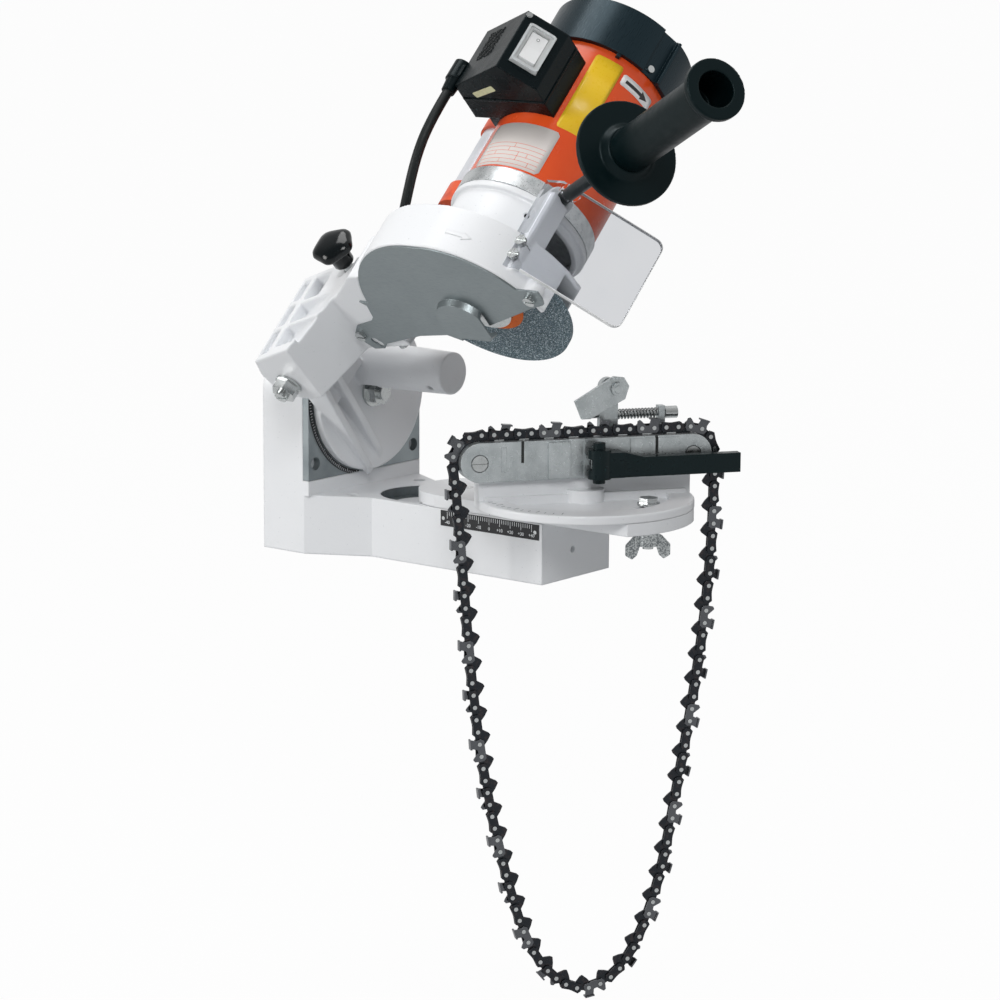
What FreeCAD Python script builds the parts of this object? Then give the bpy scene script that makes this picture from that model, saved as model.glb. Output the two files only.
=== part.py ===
import FreeCAD, Part
import Sketcher
import math
import os

# Bench-mounted electric chain grinder: a tilting, swinging motor head over a
# sliding, swivelling chain vise.  Millimetres.  +X runs along the base towards
# the operator, +Y to the back, +Z up; the origin is the middle of the
# underside of the base, where it is bolted down.

Vec = FreeCAD.Vector
doc = FreeCAD.newDocument("ChainGrinder")
sheet = doc.addObject("Spreadsheet::Sheet", "Sizes")

SIZES = {
    # running gaps used all over the machine
    "gap": 0.3,
    "fit": 0.05,
    "paper": 0.4,
    "chain_clear": 0.9,
    # base casting
    "base_half": 126.5,
    "beam_half": 41.2,
    "base_tall": 45.8,
    "flare_from": -38.0,
    "flare_to": -85.0,
    "column_half": 66.0,
    "column_face": -86.0,
    "cast_wall": 8.0,
    "deck_thick": 16.0,
    "column_pocket": 26.0,
    "recess_deep": 8.0,
    "recess_round": 36.0,
    "recess_left": -17.0,
    "recess_right": 65.0,
    "slide_home": 24.0,
    "travel_slot": 42.0,
    "slide_bolt_thick": 10.0,
    "mount_bolt_hole": 9.0,
    "mount_left": -58.0,
    "mount_left_spread": 80.0,
    "mount_right_inset": 14.5,
    "mount_right_spread": 50.0,
    "tie_wide": 24.0,
    "tie_thick": 8.0,
    "oil_hole": 5.0,
    # tilt plate and disc
    "tilt_tall": 120.0,
    "head_tilt": 45.0,
    "plate_thick": 6.0,
    "plate_foot": 57.0,
    "plate_hole": 10.0,
    "plate_hole_out": 58.0,
    "plate_hole_low": 69.5,
    "disc_round": 61.5,
    "disc_thick": 7.5,
    "scale_thick": 0.6,
    "scale_wide": 3.6,
    "tilt_bolt_thick": 12.0,
    "tilt_head": 7.5,
    "tilt_nut_tall": 8.0,
    # stop bar cast on the disc
    "bar_tip": 12.5,
    "bar_root_round": 18.0,
    "bar_tip_round": 16.2,
    "bar_out": -19.5,
    "bar_up": 12.0,
    "bar_pin_hole": 5.0,
    # swing hinge, parallel to the spindle
    "hinge_x": -59.5,
    "hinge_out": -92.0,
    "lug_round": 15.0,
    "lug_low": -49.0,
    "lug_high": 3.0,
    "lug_web": 9.5,
    "rib_thick": 6.0,
    "rib_low": -46.0,
    "rib_mid": -29.0,
    "hinge_bolt_thick": 10.0,
    "hinge_low": -64.0,
    "hinge_high": 17.0,
    "bolt_tail": 14.0,
    "washer_thick": 2.0,
    "nut_across": 17.0,
    "nut_tall": 8.0,
    "bush_wall": 1.5,
    "bush_long": 14.0,
    "arm_round": 24.0,
    "arm_wall": 7.0,
    "spring_wire": 2.4,
    "spring_round": 17.2,
    # spindle and wheel guard
    "spindle_x": 115.3,
    "spindle_out": -141.0,
    "guard_round": 80.0,
    "guard_lobe": 9.0,
    "guard_wall": 4.0,
    "guard_low": -22.0,
    "guard_high": 16.0,
    "guard_roof": 4.0,
    "neck_round": 50.0,
    "neck_wall": 5.0,
    "neck_high": 62.0,
    "cover_thick": 1.5,
    "hub_bulge_round": 24.0,
    "hub_bulge_deep": 5.0,
    "cover_ear": 118.0,
    "wheel_round": 71.5,
    "wheel_thick": 4.8,
    "flange_round": 27.5,
    "flange_thick": 5.0,
    "blotter_round": 34.5,
    "shaft_round": 8.0,
    "spindle_nut_tall": 7.0,
    "spindle_nut_across": 24.0,
    # motor
    "ring_round": 53.5,
    "ring_tall": 13.0,
    "motor_round": 52.0,
    "motor_wall": 2.5,
    "motor_top": 200.0,
    "bell_thick": 8.0,
    "stator_round": 49.2,
    "stator_bore": 30.0,
    "stator_low": 92.0,
    "stator_high": 172.0,
    "rotor_round": 29.5,
    "bearing_round": 17.5,
    "bearing_wide": 11.0,
    "fan_round": 44.0,
    "fan_hub": 14.0,
    "fan_blades": 9,
    "fan_tall": 16.0,
    "cowl_round": 56.0,
    "cowl_wall": 2.5,
    "cowl_low": 197.0,
    "cowl_top": 236.0,
    "recess_turn": -25.0,
    "recess_wide": 13.5,
    "shaft_top": 231.0,
    # capacitor at the back of the motor
    "cap_round": 19.0,
    "cap_low": 84.0,
    "cap_high": 168.0,
    "cap_x": 44.5,
    "cap_out": -126.0,
    "strap_thick": 2.0,
    # switch box
    "box_low": 127.0,
    "box_high": 180.0,
    "box_left": 61.5,
    "box_ridge": 112.5,
    "box_right": 136.0,
    "box_eave": -218.0,
    "box_top": -242.0,
    "box_seam": -204.0,
    "box_foot": -184.0,
    "box_wall": 3.0,
    "lid_lip": 1.6,
    "rocker_long": 26.0,
    "rocker_wide": 13.0,
    "module_long": 34.0,
    "module_wide": 22.0,
    "module_lip": 3.0,
    "gland_round": 7.0,
    "gland_x": 54.3,
    "gland_out": -214.0,
    "gland_low": 124.0,
    "gland_high": 150.0,
    "cord_round": 3.75,
    "coil_turn": 38.0,
    "coil_thick": 9.0,
    "coil_x": 30.5,
    "coil_out": -92.0,
    "coil_up": 41.0,
    "plug_round": 12.5,
    "plug_long": 32.0,
    "plug_off": 22.0,
    "plug_pin_round": 2.0,
    "plug_pin_long": 19.0,
    "plug_pin_out": 9.5,
    # handle, square to the spindle
    "handle_turn": 33.5,
    "handle_up": 60.0,
    "rod_round": 5.0,
    "rod_from": 55.0,
    "hand_guard_at": 172.0,
    "hand_guard_round": 37.0,
    "hand_guard_thick": 4.0,
    "grip_round": 15.6,
    "grip_tip": 304.0,
    "grip_lip": 21.0,
    "grip_bore": 12.5,
    "grip_bore_deep": 32.0,
    # eye shield
    "visor_thick": 3.0,
    "visor_long": 84.0,
    "visor_turn": 47.5,
    "visor_low": -13.0,
    "visor_high": 64.0,
    "visor_x": 184.0,
    "visor_out": -191.0,
    "visor_corner": 7.0,
    "visor_tab": 15.0,
    # depth stop screw
    "stop_x": -17.5,
    "stop_up": 12.0,
    "stop_screw_round": 4.0,
    "stop_head": -153.0,
    "stop_tip": -50.0,
    "knob_round": 16.5,
    "knob_hub": 8.5,
    # cross slide
    "arm_top": 55.5,
    "arm_tip_round": 40.6,
    "table_x": 133.3,
    "table_round": 81.8,
    "table_rim": 62.0,
    "table_pocket": 3.6,
    "table_pocket_round": 63.0,
    "table_boss": 15.0,
    "table_boss_top": 68.0,
    "table_bolt_thick": 12.0,
    "swivel": 35.0,
    "slot_at": 50.0,
    "slot_turn": 19.0,
    "slot_wide": 8.4,
    "swivel_bolt_thick": 8.0,
    "wing_hub_round": 7.5,
    "wing_hub_tall": 12.0,
    "wing_reach": 17.0,
    "wing_drop": 28.0,
    "wing_thick": 2.6,
    # chain vise on the swivel plate
    "vise_wall_half": 82.0,
    "vise_wall_front": 3.0,
    "vise_wall_back": -9.0,
    "rail_foot": 76.8,
    "rail_top": 106.2,
    "rail_half": 97.0,
    "rail_face": 8.0,
    "slot_half": 0.85,
    "rail_screw_at": 82.5,
    "rail_screw_round": 6.0,
    "jaw_play": 0.9,
    "pad_left": -30.5,
    "pad_right": -13.6,
    "pad_proud": 2.5,
    "lever_at": 6.0,
    "lever_front": 17.3,
    "rod_tall": 88.5,
    "clamp_rod_round": 4.0,
    "eye_half": 3.3,
    "cam_round": 8.7,
    "cam_throw": 0.4,
    "lever_half": 10.9,
    "lever_tip": 115.0,
    "lever_pin": 4.6,
    "grip_below": 10.0,
    "grip_above": 4.5,
    # chain stop on the back rail
    "post_left": 15.0,
    "post_right": 29.0,
    "post_back": -16.0,
    "post_front": -9.2,
    "pawl_at": 25.0,
    "pawl_tall": 141.0,
    "pawl_thick": 3.0,
    "pawl_pin": 3.0,
    "adjust_tall": 120.0,
    "adjust_back": -12.6,
    "adjust_round": 2.4,
    "coil_round": 4.0,
    "coil_wire": 1.2,
    "coil_right": 60.5,
    "lug_right": 66.0,
    "adjust_tip": 76.0,
    # saw chain, 3/8 inch
    "pitch": 9.525,
    "link_thick": 1.5,
    "plate_wide": 1.15,
    "plate_half": 3.8,
    "rivet_round": 1.6,
    "drive_links": 58,
    "tang_deep": 9.6,
    "loop_low": -322.0,
}


for row, (word, value) in enumerate(SIZES.items(), start=1):
    sheet.set("A%d" % row, word.replace("_", " "))
    sheet.set("B%d" % row, str(value))
    sheet.setAlias("B%d" % row, word)
doc.recompute()


def size(word):
    """The value that the sheet holds for a size."""
    return float(sheet.get(word))


def formula(text):
    """An expression on the sheet, from plain size words."""
    text = str(text)
    found = []
    word = ""
    for sign in text + " ":
        if sign.isalnum() or sign == "_":
            word += sign
            continue
        found.append("Sizes." + word if word in SIZES else word)
        found.append(sign)
        word = ""
    return "".join(found).strip()


def number_of(text):
    """The value of the same expression, worked out in a spare cell of the sheet."""
    sheet.set("D1", "=" + str(text))
    sheet.recompute()
    return float(sheet.get("D1"))


def bind(item, **links):
    """Bind properties of a feature to formulas; x, y, z place its base."""
    for name, text in links.items():
        path = "Placement.Base." + name if name in ("x", "y", "z") else name
        item.setExpression(path, formula(text))
    return item


count = [0]


def new(kind, word):
    """A document object with a name of its own."""
    count[0] += 1
    return doc.addObject(kind, "%s%03d" % (word, count[0]))


def box(x0, x1, y0, y1, z0, z1):
    """A block between six planes."""
    item = new("Part::Box", "Block")
    bind(item, Length="(%s)-(%s)" % (x1, x0), Width="(%s)-(%s)" % (y1, y0),
         Height="(%s)-(%s)" % (z1, z0), x=x0, y=y0, z=z0)
    return item


TURN = {
    "z": FreeCAD.Rotation(),
    "x": FreeCAD.Rotation(Vec(0, 1, 0), 90),
    "y": FreeCAD.Rotation(Vec(1, 0, 0), -90),
}


def along(item, axis, start, a, b):
    """Place a turned primitive with its axis along x, y or z."""
    item.Placement = FreeCAD.Placement(Vec(), TURN[axis])
    if axis == "z":
        return bind(item, x=a, y=b, z=start)
    if axis == "x":
        return bind(item, x=start, y=a, z=b)
    return bind(item, x=a, y=start, z=b)


def rod(radius, start, end, a="0", b="0", axis="z"):
    """A round bar from start to end along an axis."""
    item = new("Part::Cylinder", "Round")
    bind(item, Radius=radius, Height="(%s)-(%s)" % (end, start))
    return along(item, axis, start, a, b)


def taper(radius1, radius2, start, end, a="0", b="0", axis="z"):
    """A tapered round bar."""
    item = new("Part::Cone", "Taper")
    bind(item, Radius1=radius1, Radius2=radius2, Height="(%s)-(%s)" % (end, start))
    return along(item, axis, start, a, b)


def hexagon(across, start, end, a="0", b="0", axis="z"):
    """A hexagonal bar measured across its flats."""
    item = new("Part::Prism", "Hex")
    item.Polygon = 6
    bind(item, Circumradius="(%s)/sqrt(3)" % across, Height="(%s)-(%s)" % (end, start))
    return along(item, axis, start, a, b)


def fuse(*parts):
    """One solid of several."""
    if len(parts) == 1:
        return parts[0]
    item = new("Part::MultiFuse", "Fuse")
    item.Shapes = list(parts)
    return item


def cut(stock, *tools):
    """Stock less its tools."""
    item = new("Part::Cut", "Cut")
    item.Base = stock
    item.Tool = fuse(*tools)
    return item


def common(one, other):
    """What two solids share."""
    item = new("Part::Common", "Common")
    item.Base = one
    item.Tool = other
    return item


def group(*parts):
    """Separate solids that share one node."""
    item = new("Part::Compound", "Group")
    item.Links = list(parts)
    return item


def tube(outer, inner, start, end, a="0", b="0", axis="z"):
    """A round bar with a bore right through."""
    return cut(rod(outer, start, end, a, b, axis),
               rod(inner, "(%s)-1" % start, "(%s)+1" % end, a, b, axis))


PLANE = {"z": "XY_Plane", "y": "XZ_Plane", "x": "YZ_Plane"}


def prism(points, start, end, axis="z"):
    """A body padded from a closed outline of formula points.

    The outline is drawn in (x, y) for axis z, (x, z) for y and (y, z) for x.
    """
    body = new("PartDesign::Body", "Body")
    sketch = body.newObject("Sketcher::SketchObject", "Outline%03d" % count[0])
    plane = [part for part in body.Origin.OriginFeatures if part.Role == PLANE[axis]][0]
    sketch.AttachmentSupport = [(plane, "")]
    sketch.MapMode = "FlatFace"
    spots = [Vec(number_of(a), number_of(b), 0) for a, b in points]
    for here, there in zip(spots, spots[1:] + spots[:1]):
        sketch.addGeometry(Part.LineSegment(here, there))
    total = len(points)
    for edge in range(total):
        follow = (edge + 1) % total
        sketch.addConstraint(Sketcher.Constraint("Coincident", edge, 2, follow, 1))
    for edge, (a, b) in enumerate(points):
        for side, text, spot in (("DistanceX", a, spots[edge].x), ("DistanceY", b, spots[edge].y)):
            name = "%s%d" % (side, edge)
            where = sketch.addConstraint(Sketcher.Constraint(side, -1, 1, edge, 1, spot))
            sketch.renameConstraint(where, name)
            sketch.setExpression("Constraints." + name, formula(text))
    flip = axis == "y"
    lift = "-(%s)" % end if flip else start
    sketch.setExpression("AttachmentOffset.Base.z", formula(lift))
    pad = body.newObject("PartDesign::Pad", "Pad%03d" % count[0])
    pad.Profile = sketch
    pad.setExpression("Length", formula("(%s)-(%s)" % (end, start)))
    body.Tip = pad
    return body


def rounded(stock, radius, pick):
    """Round the edges that pick accepts, seen from their middle and direction."""
    doc.recompute()
    item = new("Part::Fillet", "Rounded")
    item.Base = stock
    edges = []
    for index, edge in enumerate(stock.Shape.Edges):
        middle = edge.valueAt((edge.FirstParameter + edge.LastParameter) / 2)
        if pick(edge, middle):
            edges.append((index + 1, radius, radius))
    item.Edges = edges
    return item


def straight(edge, axis):
    """Whether an edge is a straight one along an axis."""
    if edge.Curve.TypeId != "Part::GeomLine":
        return False
    run = edge.Curve.Direction
    return abs(getattr(run, axis)) > 0.999


def level(edge, axis, height):
    """Whether all of an edge lies at one height on an axis."""
    ends = (edge.BoundBox.XMin, edge.BoundBox.XMax)
    if axis == "y":
        ends = (edge.BoundBox.YMin, edge.BoundBox.YMax)
    if axis == "z":
        ends = (edge.BoundBox.ZMin, edge.BoundBox.ZMax)
    return abs(ends[0] - height) < 0.01 and abs(ends[1] - height) < 0.01


def turned_about_z(item, angle, x="0", y="0"):
    """Wrap a feature so that it turns about an upright axis."""
    wrap = group(item)
    wrap.Placement = FreeCAD.Placement(Vec(), FreeCAD.Rotation(Vec(0, 0, 1), 1))
    bind(wrap, x=x, y=y)
    wrap.setExpression("Placement.Rotation.Angle", formula(angle))
    return wrap


nodes = []


def node(label, item, frame="base"):
    """Name a finished piece and set it in its frame."""
    if item.TypeId.startswith("Part::") and item.TypeId in ("Part::Cylinder", "Part::Box", "Part::Prism",
                                                            "Part::Cone"):
        item = group(item)
    if frame == "head":
        item.Placement = FreeCAD.Placement(Vec(), FreeCAD.Rotation(Vec(-1, 0, 0), 1))
        bind(item, z="tilt_tall")
        item.setExpression("Placement.Rotation.Angle", formula("head_tilt"))
    if frame == "vise":
        item.Placement = FreeCAD.Placement(Vec(), FreeCAD.Rotation(Vec(0, 0, -1), 1))
        bind(item, x="table_x")
        item.setExpression("Placement.Rotation.Angle", formula("swivel"))
    item.Label = label
    nodes.append(item)
    return item


def screw(head, head_tall, shank, start, end, a, b, axis="z"):
    """A slotted screw: head from start, shank on to end, slot across the head."""
    rising = number_of(end) > number_of(start)
    sign = "+" if rising else "-"
    seat = "(%s)%s%s" % (start, sign, head_tall)
    head_ends = (start, seat) if rising else (seat, start)
    shank_ends = (seat, end) if rising else (end, seat)
    body = fuse(rod(head, head_ends[0], head_ends[1], a, b, axis),
                rod(shank, shank_ends[0], shank_ends[1], a, b, axis))
    deep = "(%s)%s%s/2" % (start, sign, head_tall)
    out = "(%s)%s1" % (start, "-" if rising else "+")
    low, high = (out, deep) if rising else (deep, out)
    half = "0.6"
    wide = "(%s)+1" % head
    if axis == "z":
        slot = box("(%s)-(%s)" % (a, wide), "(%s)+(%s)" % (a, wide),
                   "(%s)-%s" % (b, half), "(%s)+%s" % (b, half), low, high)
    elif axis == "x":
        slot = box(low, high, "(%s)-(%s)" % (a, wide), "(%s)+(%s)" % (a, wide),
                   "(%s)-%s" % (b, half), "(%s)+%s" % (b, half))
    else:
        slot = box("(%s)-(%s)" % (a, wide), "(%s)+(%s)" % (a, wide), low, high,
                   "(%s)-%s" % (b, half), "(%s)+%s" % (b, half))
    return cut(body, slot)


# ---------------------------------------------------------------- base

def make_base():
    """Cast base: a beam for the slide, flaring into a pedestal with an upright column."""
    outline = [("-base_half", "-column_half"), ("flare_to", "-column_half"),
               ("flare_from", "-beam_half"), ("base_half", "-beam_half"),
               ("base_half", "beam_half"), ("flare_from", "beam_half"),
               ("flare_to", "column_half"), ("-base_half", "column_half")]
    foot = prism(outline, "0", "base_tall")
    column = box("-base_half", "column_face", "-column_half", "column_half", "base_tall-1", "tilt_tall")
    arch = rod("column_half", "-base_half", "column_face", "0", "tilt_tall", "x")
    web = box("column_face-1", "column_face+plate_thick", "-column_half", "column_half",
              "base_tall-1", "plate_foot-gap")
    body = fuse(foot, column, arch, web)
    under = box("flare_to+cast_wall", "base_half-cast_wall", "-beam_half+cast_wall",
                "beam_half-cast_wall", "-1", "base_tall-recess_deep-deck_thick+6")
    back = box("-base_half-1", "-base_half+column_pocket", "-column_half+cast_wall*2",
               "column_half-cast_wall*2", "cast_wall*2", "tilt_tall+cast_wall*3")
    hub = rod("tilt_bolt_thick*1.5", "-base_half", "-base_half+column_pocket+1", "0", "tilt_tall", "x")
    recess = fuse(rod("recess_round", "base_tall-recess_deep", "base_tall+1", "recess_left", "0"),
                  rod("recess_round", "base_tall-recess_deep", "base_tall+1", "recess_right", "0"),
                  box("recess_left", "recess_right", "-recess_round", "recess_round",
                      "base_tall-recess_deep", "base_tall+1"))
    slot_half = "(slide_bolt_thick/2+gap)"
    low = "base_tall-recess_deep-deck_thick"
    travel = fuse(rod(slot_half, low, "base_tall", "slide_home-travel_slot", "0"),
                  rod(slot_half, low, "base_tall", "slide_home+travel_slot", "0"),
                  box("slide_home-travel_slot", "slide_home+travel_slot", "-" + slot_half, slot_half,
                      low, "base_tall"))
    bolts = [rod("mount_bolt_hole/2", "-1", "base_tall+1", end, spread)
             for end, spread in (("mount_left", "-mount_left_spread/2"), ("mount_left", "mount_left_spread/2"),
                                 ("base_half-mount_right_inset", "-mount_right_spread/2"),
                                 ("base_half-mount_right_inset", "mount_right_spread/2"))]
    tie = box("-tie_wide/2", "tie_wide/2", "-beam_half+cast_wall-1", "beam_half-cast_wall+1", "0", "tie_thick")
    end_hole = rod("oil_hole/2", "base_half-15", "base_half+1", "-beam_half*0.1", "base_tall*0.47", "x")
    bore = rod("tilt_bolt_thick/2+fit", "-base_half-1", "column_face+1", "0", "tilt_tall", "x")
    body = cut(fuse(cut(body, under, back), hub, tie), recess, travel, end_hole, bore, *bolts)
    return body


node("base", make_base())


def make_column_plate():
    """Ground steel plate on the column: the face that the tilt disc turns on."""
    low, high = "column_face", "column_face+plate_thick"
    body = fuse(box(low, high, "-column_half", "column_half", "plate_foot", "tilt_tall"),
                rod("column_half", low, high, "0", "tilt_tall", "x"))
    holes = [rod("plate_hole/2", "column_face-1", "column_face+plate_thick+1", y, z, "x")
             for y in ("-plate_hole_out", "plate_hole_out") for z in ("plate_hole_low",)]
    high_holes = [rod("plate_hole/2", "column_face-1", "column_face+plate_thick+1", y,
                      "tilt_tall+40", "x") for y in ("-43", "43")]
    bore = rod("tilt_bolt_thick/2+fit", "column_face-1", "column_face+plate_thick+1", "0", "tilt_tall", "x")
    below = box("column_face-1", "column_face+plate_thick+1", "-column_half", "column_half", "0", "plate_foot")
    return cut(body, bore, below, *(holes + high_holes))


node("column_plate", make_column_plate())


def make_scale_plates():
    """Two black scale plates: degrees round the disc, millimetres on the beam."""
    face = "column_face+plate_thick"
    ring = tube("column_half", "column_half-scale_wide", face, face + "+scale_thick", "0", "tilt_tall", "x")
    window = box(face + "-1", face + "+scale_thick+1", "-column_half-1", "-8",
                 "plate_foot", "tilt_tall")
    front = "-beam_half"
    plate = box("30.5", "123.5", front + "-scale_thick", front, "base_tall-12.6", "base_tall-1")
    holes = [rod("1.5", front + "-scale_thick-1", front + "+1", x, "base_tall-6.8", "y")
             for x in ("33.5", "120.5")]
    return group(common(ring, window), cut(plate, *holes))


node("scale_plates", make_scale_plates())


def make_scale_rivets():
    """Two drive rivets that hold the millimetre scale."""
    front = "-beam_half"
    return group(*[rod("1.5-fit", front + "-scale_thick-0.5", front, x, "base_tall-6.8", "y")
                   for x in ("33.5", "120.5")])


node("scale_rivets", make_scale_rivets())


def make_tilt_bolt():
    """Bolt through the column that the whole head tilts on."""
    head = hexagon("tilt_bolt_thick*1.5", "-base_half-tilt_head", "-base_half", "0", "tilt_tall", "x")
    shank = rod("tilt_bolt_thick/2", "-base_half", "column_face+plate_thick+disc_thick+14", "0",
                "tilt_tall", "x")
    return fuse(head, shank)


node("tilt_bolt", make_tilt_bolt())

# ---------------------------------------------------------------- tilting bracket
# Head frame: x along the machine, y down and back across the spindle, z up the spindle.


def make_tilt_bracket():
    """Cast disc with the stop bar, two ribs and the lug of the swing hinge."""
    face = "column_face+plate_thick+gap"
    front = "column_face+plate_thick+disc_thick"
    disc = rod("disc_round", face, front, "0", "0", "x")
    bar = taper("bar_root_round", "bar_tip_round", front + "-1", "bar_tip", "bar_out", "bar_up", "x")
    lug = rod("lug_round", "lug_low", "lug_high", "hinge_x", "hinge_out")
    web = box(front + "-3", front + "+lug_web", "hinge_out+4", "-34", "lug_low", "lug_high")
    rib_outline = [(front + "-3", "-56"), (front, "hinge_out+8"), ("hinge_x+2", "hinge_out+4"),
                   ("hinge_x+10", "hinge_out+16"), (front + "+4", "34"), (front, "44"), (front + "-3", "44")]
    ribs = [prism(rib_outline, z + "-rib_thick/2", z + "+rib_thick/2") for z in ("rib_low", "rib_mid")]
    body = fuse(disc, bar, lug, web, *ribs)
    scallop = rod("tilt_bolt_thick*1.25", front, front + "+16", "0", "0", "x")
    bore = rod("tilt_bolt_thick/2+fit", face + "-1", front + "+20", "0", "0", "x")
    hinge = rod("hinge_bolt_thick/2+bush_wall", "lug_low-1", "lug_high+1", "hinge_x", "hinge_out")
    pin = rod("bar_pin_hole/2", "bar_up-bar_root_round-2", "bar_up+bar_root_round+2", "bar_tip-13",
              "bar_out")
    return cut(body, scallop, bore, hinge, pin)


node("tilt_bracket", make_tilt_bracket(), "head")


def make_nuts_and_washers():
    """Hex nuts and washers of the tilt bolt and of the swing hinge."""
    front = "column_face+plate_thick+disc_thick"
    tilt_washer = tube("tilt_bolt_thick", "tilt_bolt_thick/2+fit", front, front + "+washer_thick",
                       "0", "0", "x")
    tilt_nut = cut(hexagon("tilt_bolt_thick*1.5", front + "+washer_thick",
                           front + "+washer_thick+tilt_nut_tall", "0", "0", "x"),
                   rod("tilt_bolt_thick/2+fit", front, front + "+30", "0", "0", "x"))
    low = "hinge_low-washer_thick-gap"
    bore = "hinge_bolt_thick/2+fit"
    low_washer = tube("nut_across*0.62", bore, low, "hinge_low-gap", "hinge_x", "hinge_out")
    low_nut = cut(hexagon("nut_across", low + "-nut_tall", low, "hinge_x", "hinge_out"),
                  rod(bore, low + "-20", low + "+1", "hinge_x", "hinge_out"))
    return group(tilt_washer, tilt_nut, low_washer, low_nut)


node("nuts_and_washers", make_nuts_and_washers(), "head")


def make_hinge_bolt():
    """Hinge bolt, slotted at its threaded end, hex head at the top."""
    shank = rod("hinge_bolt_thick/2", "hinge_low-bolt_tail", "hinge_high+gap", "hinge_x", "hinge_out")
    head = hexagon("nut_across", "hinge_high+gap", "hinge_high+gap+nut_tall*0.8", "hinge_x", "hinge_out")
    slot = box("hinge_x-8", "hinge_x+8", "hinge_out-0.8", "hinge_out+0.8", "hinge_low-bolt_tail-1",
               "hinge_low-bolt_tail+1.6")
    return cut(fuse(shank, head), slot)


node("hinge_bolt", make_hinge_bolt(), "head")


def make_hinge_bushes():
    """Two bronze bushes pressed in the hinge lug."""
    outer = "hinge_bolt_thick/2+bush_wall-fit/2"
    inner = "hinge_bolt_thick/2+fit"
    return group(tube(outer, inner, "lug_low", "lug_low+bush_long", "hinge_x", "hinge_out"),
                 tube(outer, inner, "lug_high-bush_long", "lug_high", "hinge_x", "hinge_out"))


node("hinge_bushes", make_hinge_bushes(), "head")


def wound(winding, wire, radius, rise, turns):
    """A coil of round wire about the z axis, up from the origin.

    The winding is Part.makeHelix, or Part.makeLongHelix, whose turns are separate faces.
    """
    helix = winding(rise, rise * turns, radius)
    heading = Vec(0, 2 * math.pi * radius, rise)
    ring = Part.Wire([Part.makeCircle(wire, Vec(radius, 0, 0), heading)])
    return Part.Wire(helix.Edges).makePipeShell([ring], True, True)


def make_return_spring():
    """Torsion spring round the hinge bolt that lifts the head."""
    turns = 2
    radius = size("hinge_bolt_thick") / 2 + size("spring_wire")
    start = size("lug_high") + size("spring_wire") / 2 + size("gap")
    rise = size("spring_wire") + size("gap")
    coil = wound(Part.makeLongHelix, size("spring_wire") / 2, radius, rise, turns)
    coil.translate(Vec(size("hinge_x"), size("hinge_out"), start))
    return Part.makeCompound([coil])


def feature(word, shape):
    """A document object that carries a shape worked out from the sheet."""
    item = new("Part::Feature", word)
    item.Shape = shape
    return item


node("return_spring", feature("Spring", make_return_spring()), "head")

# ---------------------------------------------------------------- swinging arm and guard


def lobes(radius, low, high):
    """The guard's plan shape: a round on the spindle, drawn out towards the hinge."""
    left = "spindle_x-guard_lobe"
    return fuse(rod(radius, low, high, "spindle_x", "spindle_out"),
                rod(radius, low, high, left, "spindle_out"),
                box(left, "spindle_x", "spindle_out-(%s)" % radius, "spindle_out+(%s)" % radius, low, high))


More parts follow.
